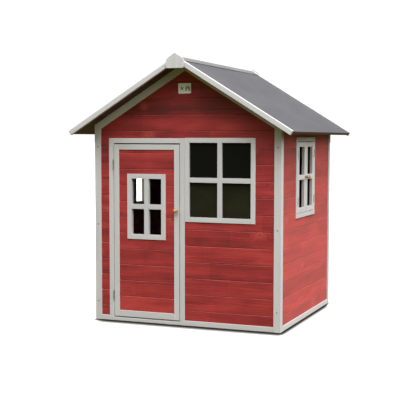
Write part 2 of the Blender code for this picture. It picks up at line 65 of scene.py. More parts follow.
# ---------------------------------------------------------------- sizes, from the frame
HALF_W = high("corner_trim_front_right").x
HALF_D = -low("corner_trim_front_right").y
BOARD_FACE = HALF_D - 0.005              # outer face of the boards, front and rear
SIDE_FACE = HALF_W - 0.005
BOARD_T, BATTEN_T = 0.014, 0.024
GAP = 0.0003
BASE_H = high("base_rail_rear").z
ROOF_HALF_W = high("roof_felt_right").x
RIDGE_Z = 1.584
EAVE_Z = 1.155
SLOPE = (RIDGE_Z - EAVE_Z) / 0.700
TILT = math.atan(SLOPE)
SLOPE_LEN = math.hypot(0.700, RIDGE_Z - EAVE_Z)
DECK_Y = high("roof_deck_right").y
FELT_DROP, FELT_T = 0.0046, 0.003
DECK_TOP, DECK_BOTTOM = 0.0079, 0.0229   # square to the slope, below the tops of the barge boards
RAKE_TOP, RAKE_BOTTOM = 0.0232, 0.0652
TRIM_W = 0.042
SEAM_0, PITCH = -0.006, 0.0967           # board joints of the walls
DOOR_SEAM_0 = 0.0572                     # board joints of the door


def roof_z(x, down):
    """Height of the line lying down (square to the slope) below the tops of the barge boards."""
    return RIDGE_Z - abs(x) * SLOPE - down / math.cos(TILT)


def slope_point(side, along, down):
    return (
        side * (along * math.cos(TILT) - down * math.sin(TILT)),
        RIDGE_Z - along * math.sin(TILT) - down * math.cos(TILT),
    )


SIDE_TOP = high("right_wall").z

AXES = {
    "X": (Vector((1, 0, 0)), Vector((0, 0, 1)), Vector((0, 1, 0))),
    "Y": (Vector((0, 1, 0)), Vector((0, 0, 1)), Vector((1, 0, 0))),
    "Z": (Vector((0, 0, 1)), Vector((1, 0, 0)), Vector((0, 1, 0))),
    "ZY": (Vector((0, 0, 1)), Vector((0, 1, 0)), Vector((1, 0, 0))),
    "XY": (Vector((1, 0, 0)), Vector((0, 1, 0)), Vector((0, 0, 1))),
    "L": (Vector((math.cos(TILT), 0, math.sin(TILT))), Vector((-math.sin(TILT), 0, math.cos(TILT))), Vector((0, 1, 0))),
    "R": (Vector((math.cos(TILT), 0, -math.sin(TILT))), Vector((math.sin(TILT), 0, math.cos(TILT))), Vector((0, 1, 0))),
    "DL": (Vector((0, 1, 0)), Vector((math.cos(TILT), 0, math.sin(TILT))), Vector((-math.sin(TILT), 0, math.cos(TILT)))),
    "DR": (Vector((0, 1, 0)), Vector((math.cos(TILT), 0, -math.sin(TILT))), Vector((math.sin(TILT), 0, math.cos(TILT)))),
}
AXIS_NAMES = list(AXES)


# ---------------------------------------------------------------- materials
class Graph:
    """A node material, written as sums."""

    def __init__(self, name):
        self.material = bpy.data.materials.new(name)
        self.material.use_nodes = True
        self.tree = self.material.node_tree
        self.tree.nodes.clear()
        self.shader = self.add("ShaderNodeBsdfPrincipled")
        out = self.add("ShaderNodeOutputMaterial")
        self.tree.links.new(self.shader.outputs["BSDF"], out.inputs["Surface"])

    def add(self, kind, **settings):
        node = self.tree.nodes.new(kind)
        for key, value in settings.items():
            setattr(node, key, value)
        return node

    def put(self, socket, value):
        if isinstance(value, bpy.types.NodeSocket):
            self.tree.links.new(value, socket)
        elif isinstance(value, tuple) and len(value) == 3 and socket.type == "RGBA":
            socket.default_value = (*value, 1.0)
        else:
            socket.default_value = value

    def math(self, operation, a, b=None, c=None, clamp=False):
        node = self.add("ShaderNodeMath", operation=operation, use_clamp=clamp)
        for socket, value in zip(node.inputs, (a, b, c)):
            if value is not None:
                self.put(socket, value)
        return node.outputs[0]

    def scaled(self, at, scale):
        node = self.add("ShaderNodeVectorMath", operation="MULTIPLY")
        self.put(node.inputs[0], at)
        self.put(node.inputs[1], scale)
        return node.outputs[0]

    def split(self, at):
        node = self.add("ShaderNodeSeparateXYZ")
        self.put(node.inputs[0], at)
        return node.outputs

    def join(self, x, y, z):
        node = self.add("ShaderNodeCombineXYZ")
        for socket, value in zip(node.inputs, (x, y, z)):
            self.put(socket, value)
        return node.outputs[0]

    def attribute(self, name, out="Vector"):
        return self.add("ShaderNodeAttribute", attribute_type="GEOMETRY", attribute_name=name).outputs[out]

    def place(self):
        return self.add("ShaderNodeTexCoord").outputs["Object"]

    def noise(self, at, scale=1.0, detail=2.0, rough=0.5, distortion=0.0):
        node = self.add("ShaderNodeTexNoise")
        self.put(node.inputs["Vector"], at)
        self.put(node.inputs["Scale"], scale)
        self.put(node.inputs["Detail"], detail)
        self.put(node.inputs["Roughness"], rough)
        self.put(node.inputs["Distortion"], distortion)
        return node.outputs["Fac"]

    def span(self, value, a, b, to_a=0.0, to_b=1.0, smooth=True):
        node = self.add("ShaderNodeMapRange", interpolation_type="SMOOTHSTEP" if smooth else "LINEAR")
        for socket, given in zip(node.inputs, (value, a, b, to_a, to_b)):
            self.put(socket, given)
        return node.outputs[0]

    def ramp(self, value, stops):
        node = self.add("ShaderNodeValToRGB")
        self.put(node.inputs[0], value)
        marks = node.color_ramp.elements
        while len(marks) < len(stops):
            marks.new(0.5)
        for mark, (where, colour) in zip(marks, stops):
            mark.position = where
            mark.color = (*colour, 1.0)
        return node.outputs[0]

    def mix(self, share, a, b, blend="MIX"):
        node = self.add("ShaderNodeMix", data_type="RGBA", blend_type=blend)
        self.put(node.inputs["Factor"], share)
        self.put(node.inputs[6], a)
        self.put(node.inputs[7], b)
        return node.outputs[2]

    def bump(self, height, distance, strength=1.0):
        node = self.add("ShaderNodeBump")
        self.put(node.inputs["Strength"], strength)
        self.put(node.inputs["Distance"], distance)
        self.put(node.inputs["Height"], height)
        self.tree.links.new(node.outputs[0], self.shader.inputs["Normal"])

    def set(self, **inputs):
        for name, value in inputs.items():
            self.put(self.shader.inputs[name.replace("_", " ")], value)
        return self.material


def timber(name, deep, middle, pale, knot, glow, rings=0.25, streaks=0.5, blotches=0.35, boards=0.25, roughness=0.55,
           specular=0.4, relief=0.00035, spacing=0.0062, knot_share=0.9, glow_share=0.5, worn_and_lit=None, worn_and_lit_share=0.3, coat=0.0,
           lengths=0.0, inside_shade=None, sheen=0.0, sheen_tint=(1.0, 1.0, 1.0)):
    """Softwood under a stain or a varnish: growth rings round a heart, streaks, pores, knots with their glow, blotches.

    lengths is how much the finger-jointed lengths of one board differ in tone. A tone below zero marks a face within
    the house, which is painted darker as shade.
    """
    g = Graph(name)
    at, heart = g.attribute("grain"), g.attribute("heart")
    tone = g.attribute("tone", "Fac")
    u, w, _ = g.split(at)

    # knots: one in some cells of a stretched lattice
    cell = g.add("ShaderNodeTexVoronoi", voronoi_dimensions="2D", feature="F1")
    g.put(cell.inputs["Vector"], g.join(g.math("MULTIPLY", u, 2.7), g.math("MULTIPLY", w, 10.5), 0.0))
    g.put(cell.inputs["Scale"], 1.0)
    px, py, _ = g.split(cell.outputs["Position"])
    luck, turn, _ = g.split(cell.outputs["Color"])
    dx = g.math("SUBTRACT", u, g.math("DIVIDE", px, 2.7))
    dy = g.math("SUBTRACT", w, g.math("DIVIDE", py, 10.5))
    wobble = g.math("MULTIPLY", g.math("SUBTRACT", g.noise(at, 160.0, 2.0), 0.5), 0.004)
    far = g.math("ADD", g.math("SQRT", g.math("ADD", g.math("POWER", g.math("MULTIPLY", dx, 0.72), 2.0), g.math("POWER", dy, 2.0))), wobble)
    radius = g.math("SUBTRACT", g.math("MULTIPLY", luck, 0.0290), 0.0205)
    is_knot = g.math("GREATER_THAN", radius, 0.0015)
    core = g.math("MULTIPLY", is_knot, g.math("ADD", g.math("DIVIDE", g.math("SUBTRACT", radius, far), 0.0034), 0.5, clamp=True))
    reach = g.math("ADD", g.math("MULTIPLY", radius, 4.2), 0.020)
    halo = g.math("MULTIPLY", is_knot, g.math("SUBTRACT", 1.0, g.math("DIVIDE", far, reach), clamp=True))

    # growth rings
    _, hy, hz = g.split(heart)
    out = g.math("SQRT", g.math("ADD", g.math("POWER", hy, 2.0), g.math("POWER", hz, 2.0)))
    bend = g.math("MULTIPLY", g.math("SUBTRACT", g.noise(g.scaled(at, (2.2, 9.0, 9.0)), 1.0, 2.0), 0.5), 0.020)
    out = g.math("ADD", g.math("ADD", out, bend), g.math("MULTIPLY", halo, 0.017))
    saw = g.math("FRACT", g.math("DIVIDE", out, spacing))
    late = g.math("MULTIPLY", g.span(saw, 0.25, 0.86), g.span(saw, 1.0, 0.90))

    streak = g.noise(g.scaled(at, (3.2, 75.0, 75.0)), 1.0, 4.0, 0.6)
    pores = g.noise(g.scaled(at, (16.0, 640.0, 640.0)), 1.0, 2.0, 0.55)
    blotch = g.noise(g.scaled(at, (4.5, 11.0, 11.0)), 1.0, 2.0, 0.55)
    drift = g.noise(g.scaled(at, (1.3, 22.0, 22.0)), 1.0, 2.0, 0.5)

    value = g.math("ADD", 0.5, g.math("MULTIPLY", g.math("SUBTRACT", streak, 0.5), streaks))
    value = g.math("SUBTRACT", value, g.math("MULTIPLY", late, rings))
    value = g.math("ADD", value, g.math("MULTIPLY", g.math("SUBTRACT", blotch, 0.5), blotches))
    value = g.math("ADD", value, g.math("MULTIPLY", g.math("SUBTRACT", drift, 0.5), blotches))
    value = g.math("ADD", value, g.math("MULTIPLY", g.math("SUBTRACT", tone, 0.5), boards))
    value = g.math("ADD", value, g.math("MULTIPLY", g.math("SUBTRACT", pores, 0.5), 0.25))
    if lengths:
        fingers = g.math("MULTIPLY", g.math("ABSOLUTE", g.math("SUBTRACT", g.math("FRACT", g.math("MULTIPLY", w, 110.0)), 0.5)), 0.020)
        run = g.math("MULTIPLY", g.math("ADD", u, fingers), 2.1)
        dice = g.add("ShaderNodeTexWhiteNoise", noise_dimensions="2D")
        g.put(dice.inputs["Vector"], g.join(g.math("FLOOR", run), tone, 0.0))
        value = g.math("ADD", value, g.math("MULTIPLY", g.math("SUBTRACT", dice.outputs["Value"], 0.5), lengths))
        from_joint = g.math("ABSOLUTE", g.math("SUBTRACT", g.math("FRACT", run), 0.5))
        value = g.math("SUBTRACT", value, g.span(from_joint, 0.4945, 0.4990, 0.0, 0.22))
    colour = g.ramp(value, [(0.0, deep), (0.5, middle), (1.0, pale)])
    colour = g.mix(g.math("MULTIPLY", g.math("POWER", halo, 1.6), glow_share), colour, glow)
    colour = g.mix(g.math("MULTIPLY", core, knot_share), colour, knot)
    # the lighter edge colour is real rubbing on rounded edges, and on the boards' upward chamfers it is a painted
    # highlight of the light from above
    if worn_and_lit:
        edge = g.math("MULTIPLY", g.attribute("wear_and_highlight", "Fac"), g.span(g.noise(at, 45.0, 3.0), 0.35, 0.65, 0.25, 1.0))
        colour = g.mix(g.math("MULTIPLY", edge, worn_and_lit_share), colour, worn_and_lit)
    # painted shade: faces within the house, marked by a tone below zero, are drawn in a darker colour that stands for
    # the shade in there
    if inside_shade:
        colour = g.mix(g.span(tone, 0.0, -1.0), colour, inside_shade)
    rough = g.math("ADD", roughness, g.math("ADD", g.math("MULTIPLY", g.math("SUBTRACT", pores, 0.5), 0.22), g.math("MULTIPLY", late, 0.05)))
    height = g.math("ADD", g.math("MULTIPLY", pores, 0.35), g.math("ADD", g.math("MULTIPLY", late, 0.45), g.math("MULTIPLY", streak, 0.8)))
    height = g.math("ADD", height, g.math("MULTIPLY", core, 0.6))
    g.bump(height, relief)
    if sheen:
        g.set(Sheen_Weight=sheen, Sheen_Roughness=0.45, Sheen_Tint=sheen_tint)
    return g.set(Base_Color=colour, Roughness=rough, Specular_IOR_Level=specular, Coat_Weight=coat, Coat_Roughness=0.25)


RED = timber(
    "red_stained_boards", (0.094, 0.0083, 0.0100), (0.262, 0.0190, 0.0212), (0.430, 0.043, 0.040),
    knot=(0.105, 0.0125, 0.0120), glow=(0.50, 0.082, 0.054), rings=0.19, streaks=0.32, blotches=0.86, boards=0.38,
    # the lighter edge colour next is rubbing on rounded edges and a painted highlight on the boards' upward chamfers;
    # the dark red after it is painted shade for faces within the house
    roughness=0.52, specular=0.38, knot_share=0.60, glow_share=0.62, worn_and_lit=(0.60, 0.185, 0.160), worn_and_lit_share=0.13,
    lengths=0.24, inside_shade=(0.060, 0.021, 0.021), sheen=0.66, sheen_tint=(1.0, 0.23, 0.22),
)
GREY = timber(
    "grey_stained_trim", (0.430, 0.428, 0.444), (0.512, 0.511, 0.534), (0.575, 0.574, 0.595),
    knot=(0.38, 0.36, 0.33), glow=(0.52, 0.51, 0.49), rings=0.16, streaks=0.55, blotches=0.35, boards=0.20,
    roughness=0.50, specular=0.45, relief=0.00025, knot_share=0.22, glow_share=0.20, worn_and_lit=(0.60, 0.60, 0.60), worn_and_lit_share=0.35,
)
BROWN = timber(
    "brown_stained_roof_boards", (0.028, 0.0095, 0.0080), (0.070, 0.0230, 0.0190), (0.115, 0.044, 0.037),
    knot=(0.012, 0.006, 0.005), glow=(0.09, 0.045, 0.03), rings=0.25, streaks=0.5, blotches=0.35, boards=0.3, roughness=0.6,
    specular=0.35, worn_and_lit=(0.09, 0.05, 0.035), worn_and_lit_share=0.2,
)
PINE = timber(
    "bare_floor_boards", (0.34, 0.20, 0.095), (0.50, 0.335, 0.185), (0.60, 0.44, 0.27),
    knot=(0.12, 0.050, 0.022), glow=(0.42, 0.23, 0.10), rings=0.45, streaks=0.4, blotches=0.25, boards=0.25, roughness=0.6,
    specular=0.35, worn_and_lit=(0.40, 0.28, 0.17), worn_and_lit_share=0.2,
)
KNOB = timber(
    "varnished_knobs", (0.31, 0.155, 0.060), (0.48, 0.290, 0.140), (0.63, 0.44, 0.25),
    knot=(0.20, 0.08, 0.03), glow=(0.55, 0.25, 0.08), rings=0.55, streaks=0.5, blotches=0.2, boards=0.15, roughness=0.34,
    specular=0.5, relief=0.0001, spacing=0.0022, coat=0.35,
)


def felt(name, dark, light, chip_dark, chip_light):
    """Bitumen felt faced with mineral granules."""
    g = Graph(name)
    at = g.place()
    cell = g.add("ShaderNodeTexVoronoi", voronoi_dimensions="3D", feature="F1")
    g.put(cell.inputs["Vector"], at)
    g.put(cell.inputs["Scale"], 620.0)
    chip, other, third = g.split(cell.outputs["Color"])
    grit = g.noise(at, 1500.0, 2.0, 0.6)
    wide = g.noise(g.scaled(at, (5.0, 2.2, 5.0)), 1.0, 3.0, 0.55)
    rolled = g.noise(g.scaled(at, (3.0, 34.0, 3.0)), 1.0, 2.0, 0.5)
    base = g.mix(g.span(wide, 0.30, 0.70), dark, light)
    colour = g.mix(g.span(chip, 0.55, 1.0, 0.0, 0.55, smooth=False), base, chip_light)
    colour = g.mix(g.span(other, 0.72, 1.0, 0.0, 0.65, smooth=False), colour, chip_dark)
    colour = g.mix(g.math("MULTIPLY", g.math("SUBTRACT", rolled, 0.5), 0.35, clamp=True), colour, chip_dark)
    height = g.math("ADD", g.math("MULTIPLY", g.math("SUBTRACT", 1.0, cell.outputs["Distance"]), 0.8), g.math("MULTIPLY", grit, 0.35))
    height = g.math("ADD", height, g.math("MULTIPLY", third, 0.35))
    g.bump(height, 0.0006, 0.8)
    rough = g.math("ADD", 0.80, g.math("MULTIPLY", chip, 0.15))
    return g.set(Base_Color=colour, Roughness=rough, Specular_IOR_Level=0.35)


FELT = felt("mineral_roof_felt", (0.0465, 0.0473, 0.0545), (0.0605, 0.0616, 0.0705), (0.020, 0.021, 0.026), (0.119, 0.122, 0.135))
# painted highlight: the ridge strip is the roof's felt drawn lighter, standing for the light it catches along the ridge
RIDGE_FELT_PAINTED_LIGHT = felt("mineral_ridge_felt_painted_light", (0.100, 0.102, 0.108), (0.128, 0.130, 0.137), (0.050, 0.052, 0.060), (0.230, 0.233, 0.243))


def metal(name, dark, light, roughness):
    g = Graph(name)
    at = g.place()
    brushed = g.noise(g.scaled(at, (900.0, 900.0, 60.0)), 1.0, 3.0, 0.6)
    spangle = g.add("ShaderNodeTexVoronoi", voronoi_dimensions="3D", feature="F1")
    g.put(spangle.inputs["Vector"], at)
    g.put(spangle.inputs["Scale"], 420.0)
    patch = g.split(spangle.outputs["Color"])[0]
    stain = g.noise(at, 130.0, 3.0, 0.6)
    value = g.math("ADD", g.math("MULTIPLY", patch, 0.35), g.math("MULTIPLY", brushed, 0.65))
    colour = g.mix(value, dark, light)
    colour = g.mix(g.span(stain, 0.58, 0.80, 0.0, 0.6), colour, (0.12, 0.10, 0.085))
    rough = g.math("ADD", roughness, g.math("MULTIPLY", g.math("SUBTRACT", brushed, 0.5), 0.25))
    g.bump(g.math("ADD", brushed, g.math("MULTIPLY", patch, 0.3)), 0.00008)
    return g.set(Base_Color=colour, Roughness=rough, Metallic=0.9)


STEEL = metal("zinc_plated_steel", (0.24, 0.24, 0.235), (0.44, 0.44, 0.43), 0.42)
ZINC = metal("bright_zinc_steel", (0.56, 0.56, 0.55), (0.74, 0.74, 0.73), 0.50)
SCREW = metal("screw_heads", (0.06, 0.058, 0.055), (0.13, 0.127, 0.12), 0.45)


def sheet():
    """Smoked acrylic: near black and polished; towards its lower edge an olive tint is painted in as a reflection of
    grass.
    """
    g = Graph("smoked_acrylic")
    at = g.place()
    _, _, z = g.split(at)
    dust_and_reflection = g.noise(at, 420.0, 3.0, 0.7)
    haze_and_reflection = g.noise(g.scaled(at, (6.0, 6.0, 9.0)), 1.0, 3.0, 0.5)
    # painted reflection: the lower part of the sheet is tinted olive, broken up by noise, to stand for a reflection of
    # grass
    lower_painted_reflection = g.span(z, 0.90, 0.78, 0.05, 1.0)
    share = g.math("MULTIPLY", lower_painted_reflection, g.span(g.math("ADD", haze_and_reflection, g.math("MULTIPLY", dust_and_reflection, 0.35)), 0.45, 0.95, 0.55, 1.0))
    colour = g.mix(share, (0.0034, 0.0036, 0.0042), (0.0185, 0.0185, 0.0112))
    rough = g.math("ADD", 0.06, g.math("MULTIPLY", g.math("MULTIPLY", haze_and_reflection, dust_and_reflection), 0.12))
    g.bump(g.noise(g.scaled(at, (7.0, 7.0, 5.0)), 1.0, 1.0, 0.4), 0.0004, 0.35)
    return g.set(Base_Color=colour, Roughness=rough, Specular_IOR_Level=0.16)


ACRYLIC = sheet()


def plastic(name, dark, light, roughness):
    g = Graph(name)
    at = g.place()
    cloud = g.noise(at, 90.0, 4.0, 0.6)
    speck = g.noise(at, 1400.0, 2.0, 0.6)
    colour = g.mix(g.span(cloud, 0.3, 0.7), dark, light)
    rough = g.math("ADD", roughness, g.math("MULTIPLY", g.math("SUBTRACT", speck, 0.5), 0.2))
    g.bump(g.math("ADD", speck, g.math("MULTIPLY", cloud, 0.5)), 0.00006)
    return g.set(Base_Color=colour, Roughness=rough, Specular_IOR_Level=0.5)


PLATE = plastic("plaque_plastic", (0.90, 0.93, 0.94), (0.94, 0.96, 0.97), 0.30)
PRINT = plastic("plaque_motif", (0.26, 0.28, 0.29), (0.34, 0.36, 0.37), 0.45)


# ---------------------------------------------------------------- solids
def cube(lo, hi):
    lo, hi = Vector(lo), Vector(hi)
    shape = bmesh.new()
    bmesh.ops.create_cube(shape, size=1.0)
    bmesh.ops.scale(shape, vec=hi - lo, verts=shape.verts)
    bmesh.ops.translate(shape, vec=(lo + hi) / 2, verts=shape.verts)
    return shape


def prism(outline, lo, hi, plane="XZ"):
    """A polygon drawn in one plane and extruded square to it."""
    shape = bmesh.new()

    def at(u, v, d):
        return {"XZ": (u, d, v), "YZ": (d, u, v), "XY": (u, v, d)}[plane]

    near = [shape.verts.new(at(u, v, lo)) for u, v in outline]
    far = [shape.verts.new(at(u, v, hi)) for u, v in outline]
    shape.faces.new(near)
    shape.faces.new(list(reversed(far)))
    for k in range(len(outline)):
        n = (k + 1) % len(outline)
        shape.faces.new((near[n], near[k], far[k], far[n]))
    bmesh.ops.recalc_face_normals(shape, faces=shape.faces)
    return shape


def revolve(profile, steps, place):
    """(radius, height) pairs from the top on the axis to the bottom on the axis, turned round Z and moved by place."""
    shape = bmesh.new()
    rings = []
    for r, h in profile:
        if r < 1e-7:
            rings.append([shape.verts.new((0, 0, h))])
        else:
            rings.append([shape.verts.new((r * math.cos(2 * math.pi * k / steps), r * math.sin(2 * math.pi * k / steps), h)) for k in range(steps)])
    for a, b in zip(rings, rings[1:]):
        for k in range(steps):
            n = (k + 1) % steps
            if len(a) == 1:
                shape.faces.new((a[0], b[k], b[n]))
            elif len(b) == 1:
                shape.faces.new((a[k], b[0], a[n]))
            else:
                shape.faces.new((a[k], b[k], b[n], a[n]))
    bmesh.ops.transform(shape, matrix=place, verts=shape.verts)
    bmesh.ops.recalc_face_normals(shape, faces=shape.faces)
    return shape


def cad(node):
    """A copy of a CAD node's mesh, with its flat faces made whole again."""
    shape = bmesh.new()
    shape.from_mesh(nodes[node].data)
    bmesh.ops.remove_doubles(shape, verts=shape.verts, dist=3e-5)
    bmesh.ops.dissolve_limit(shape, angle_limit=math.radians(0.6), verts=shape.verts, edges=shape.edges, use_dissolve_boundaries=False)
    for face in shape.faces:
        face.material_index = 0
    bmesh.ops.recalc_face_normals(shape, faces=shape.faces)
    return shape


def soften(shape, width, segments=2, least=25.0, keep=None):
    """Rounds the outward edges, and marks the rounded faces as where a finish wears."""
    wear_and_highlight = shape.faces.layers.float.get("wear_and_highlight") or shape.faces.layers.float.new("wear_and_highlight")
    edges = [
        e for e in shape.edges
        if len(e.link_faces) == 2 and e.is_convex and e.calc_face_angle() > math.radians(least) and (keep is None or keep(e))
    ]
    if edges and width:
        made = bmesh.ops.bevel(
            shape, geom=edges, offset=width, offset_type="OFFSET", segments=segments, profile=0.5, affect="EDGES", clamp_overlap=True
        )
        for face in made["faces"]:
            face[wear_and_highlight] = 1.0
    return shape


class Piece:
    """Several closed solids that make one visible piece."""

    def __init__(self, name):
        self.name = name
        self.shape = bmesh.new()
        self.wear_and_highlight = self.shape.faces.layers.float.new("wear_and_highlight")
        self.axis = self.shape.faces.layers.int.new("axis_code")
        self.seed = self.shape.faces.layers.int.new("seed_code")
        self.count = 0

    def take(self, shape, axis="X", seed=None):
        """Adds the solid, whose grain runs along that axis. It frees the solid."""
        self.count += 1
        code = shape.faces.layers.int.get("axis_code") or shape.faces.layers.int.new("axis_code")
        mark = shape.faces.layers.int.get("seed_code") or shape.faces.layers.int.new("seed_code")
        if shape.faces.layers.float.get("wear_and_highlight") is None:
            shape.faces.layers.float.new("wear_and_highlight")
        for face in shape.faces:
            face[code] = AXIS_NAMES.index(axis)
            face[mark] = self.count if seed is None else seed
        mesh = bpy.data.meshes.new("solid")
        shape.to_mesh(mesh)
        shape.free()
        self.shape.from_mesh(mesh)
        bpy.data.meshes.remove(mesh)
        self.wear_and_highlight = self.shape.faces.layers.float.get("wear_and_highlight")
        self.axis = self.shape.faces.layers.int.get("axis_code")
        self.seed = self.shape.faces.layers.int.get("seed_code")
        return self

    def bar(self, lo, hi, axis, bevel=0.0012, segments=2):
        lo, hi = [min(a, b) for a, b in zip(lo, hi)], [max(a, b) for a, b in zip(lo, hi)]
        return self.take(soften(cube(lo, hi), bevel, segments), axis)

    def finish(self, material, body, replaces=(), slot=None, flat=False, tones=None, painted_shade_at=None):
        """Writes the piece. tones gives a board its tone, and the last argument says whether a point lies on an unseen
        face within the house, which then gets a tone below zero and is painted darker as shade.
        """
        shape = self.shape
        grain = shape.verts.layers.float_vector.new("grain")
        heart = shape.verts.layers.float_vector.new("heart")
        tone = shape.verts.layers.float.new("tone")
        groups = {}
        for vert in shape.verts:
            face = vert.link_faces[0]
            groups.setdefault((face[self.seed], face[self.axis]), []).append(vert)
        for (seed, axis), verts in sorted(groups.items(), key=lambda item: item[0]):
            along, across, through = AXES[AXIS_NAMES[axis]]
            rng = random.Random(f"{self.name}/{seed}")
            shift = Vector((rng.uniform(0, 20), rng.uniform(0, 20), rng.uniform(0, 20)))
            pith = (rng.uniform(-0.07, 0.07), rng.choice((-1, 1)) * rng.uniform(0.012, 0.075))
            lean = (rng.uniform(-0.035, 0.035), rng.uniform(-0.022, 0.022))
            shade = rng.random() if tones is None else tones(seed, rng)
            middle = sum((v.co for v in verts), Vector()) / len(verts)
            for vert in verts:
                p = vert.co - middle
                u, w, t = p.dot(along), p.dot(across), p.dot(through)
                vert[grain] = Vector((u, w, t)) + shift
                vert[heart] = Vector((0.0, w - pith[0] + lean[0] * u, t + pith[1] + lean[1] * u))
                # a tone below zero marks where the material paints shade
                vert[tone] = -1.0 if painted_shade_at and painted_shade_at(vert.co) else shade
        mesh = bpy.data.meshes.new(self.name)
        shape.to_mesh(mesh)
        shape.free()
        mesh.materials.clear()
        mesh.materials.append(material)
        for layer in ("axis_code", "seed_code"):
            if layer in mesh.attributes:
                mesh.attributes.remove(mesh.attributes[layer])
        obj = bpy.data.objects.new(self.name, mesh)
        scene.collection.objects.link(obj)
        if not flat:
            mesh.shade_smooth()
            mesh.set_sharp_from_angle(angle=math.radians(38))
            weigh = obj.modifiers.new("Weighted normals", "WEIGHTED_NORMAL")
            weigh.mode = "FACE_AREA"
            weigh.keep_sharp = True
        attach(obj, body)
        if replaces:
            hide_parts(*replaces)
        return obj


def cut(shape, cutters):
    """The mesh left of shape once each of the closed cutters is taken from it."""
    mesh = bpy.data.meshes.new("stock")
    shape.to_mesh(mesh)
    shape.free()
    stock = bpy.data.objects.new("stock", mesh)
    scene.collection.objects.link(stock)
    used = []
    for cutter in cutters:
        bmesh.ops.recalc_face_normals(cutter, faces=cutter.faces)
        tool_mesh = bpy.data.meshes.new("tool")
        cutter.to_mesh(tool_mesh)
        cutter.free()
        tool = bpy.data.objects.new("tool", tool_mesh)
        scene.collection.objects.link(tool)
        used.append(tool)
        modifier = stock.modifiers.new("Cut", "BOOLEAN")
        modifier.operation = "DIFFERENCE"
        modifier.solver = "EXACT"
        modifier.object = tool
    bpy.context.view_layer.update()
    graph = bpy.context.evaluated_depsgraph_get()
    done = bpy.data.meshes.new_from_object(stock.evaluated_get(graph))
    result = bmesh.new()
    result.from_mesh(done)
    for obj in [stock, *used]:
        data = obj.data
        bpy.data.objects.remove(obj, do_unlink=True)
        bpy.data.meshes.remove(data)
    bpy.data.meshes.remove(done)
    bmesh.ops.remove_doubles(result, verts=result.verts, dist=2e-6)
    bmesh.ops.dissolve_limit(result, angle_limit=math.radians(0.4), verts=result.verts, edges=result.edges, use_dissolve_boundaries=False)
    return result


# ---------------------------------------------------------------- tongued and grooved boards
JOINT = 0.0009           # daylight between two boards' faces
CHAMFER_Z, CHAMFER_D = 0.0024, 0.0022
TONGUE, TONGUE_A, TONGUE_B = 0.0050, 0.0052, 0.0090


def board_profile(z0, z1, thick, whole_bottom, whole_top):
    """(z, depth) round one board: V joints on its face, a tongue on its top edge and a groove under it."""
    a, b = z0 + JOINT / 2, z1 - JOINT / 2
    points = []
    if whole_bottom:
        points += [(a, CHAMFER_D), (a + CHAMFER_Z, 0.0)]
    else:
        points += [(z0, 0.0)]
        a = z0
    if whole_top:
        points += [(b - CHAMFER_Z, 0.0), (b, CHAMFER_D), (b, TONGUE_A), (b + TONGUE, TONGUE_A), (b + TONGUE, TONGUE_B), (b, TONGUE_B), (b, thick)]
    else:
        b = z1
        points += [(b, 0.0), (b, thick)]
    points.append((a, thick))
    if whole_bottom:
        reach = TONGUE + JOINT + 0.0004
        points += [(a, TONGUE_B + 0.0002), (a + reach, TONGUE_B + 0.0002), (a + reach, TONGUE_A - 0.0002), (a, TONGUE_A - 0.0002)]
    return points


def boarding(place, span, seams, bottom, top, thick, extra=0.0):
    """All boards between two heights, each from span[0] to span[1]. place turns (u, depth, z) into a point."""
    shape = bmesh.new()
    lines = [z for z in seams if bottom + 0.012 < z < top - 0.006]
    edges = [bottom, *lines, top]
    for k, (z0, z1) in enumerate(zip(edges, edges[1:])):
        profile = board_profile(z0, z1, thick, k > 0, k < len(edges) - 2)
        near = [shape.verts.new(place(span[0], d, z)) for z, d in profile]
        far = [shape.verts.new(place(span[1], d, z)) for z, d in profile]
        shape.faces.new(near)
        shape.faces.new(list(reversed(far)))
        for i in range(len(profile)):
            n = (i + 1) % len(profile)
            shape.faces.new((near[n], near[i], far[i], far[n]))
    bmesh.ops.recalc_face_normals(shape, faces=shape.faces)
    return shape, edges


def board_piece(name, shape, edges, axis, cutters):
    """The boards, cut, as a Piece whose seeds are the boards' numbers."""
    shape = cut(shape, cutters) if cutters else shape
    code = shape.faces.layers.int.new("axis_code")
    mark = shape.faces.layers.int.new("seed_code")
    wear_and_highlight = shape.faces.layers.float.new("wear_and_highlight")
    shape.normal_update()
    # a tongue reaches into the next board, so each loose part is numbered by its widest stretch
    left = set(shape.verts)
    while left:
        start = left.pop()
        part, todo = {start}, [start]
        while todo:
            vert = todo.pop()
            for edge in vert.link_edges:
                other = edge.other_vert(vert)
                if other not in part:
                    part.add(other)
                    todo.append(other)
        left -= part
        zs = sorted(v.co.z for v in part)
        middle = (zs[0] + zs[-1] - TONGUE) / 2
        number = sum(1 for z in edges if z < middle)
        for vert in part:
            for face in vert.link_faces:
                face[mark] = number
                face[code] = AXIS_NAMES.index(axis)
                if 0.5 < face.normal.z < 0.9:
                    face[wear_and_highlight] = 2.2          # painted highlight: the upward chamfer of each board gets the lighter edge colour, standing for the light it catches from above
    piece = Piece(name)
    mesh = bpy.data.meshes.new("boards")
    shape.to_mesh(mesh)
    shape.free()
    piece.shape.from_mesh(mesh)
    bpy.data.meshes.remove(mesh)
    piece.wear_and_highlight = piece.shape.faces.layers.float.get("wear_and_highlight")
    piece.axis = piece.shape.faces.layers.int.get("axis_code")
    piece.seed = piece.shape.faces.layers.int.get("seed_code")
    return piece


WALL_SEAMS = [SEAM_0 + PITCH * k for k in range(0, 17)]
DOOR_SEAMS = [DOOR_SEAM_0 + PITCH * k for k in range(0, 12)]


def front_place(u, d, z):
    return (u, -BOARD_FACE + d, z)


def rear_place(u, d, z):
    return (u, BOARD_FACE - d, z)


def right_place(u, d, z):
    return (SIDE_FACE - d, u, z)


def left_place(u, d, z):
    return (-SIDE_FACE + d, u, z)


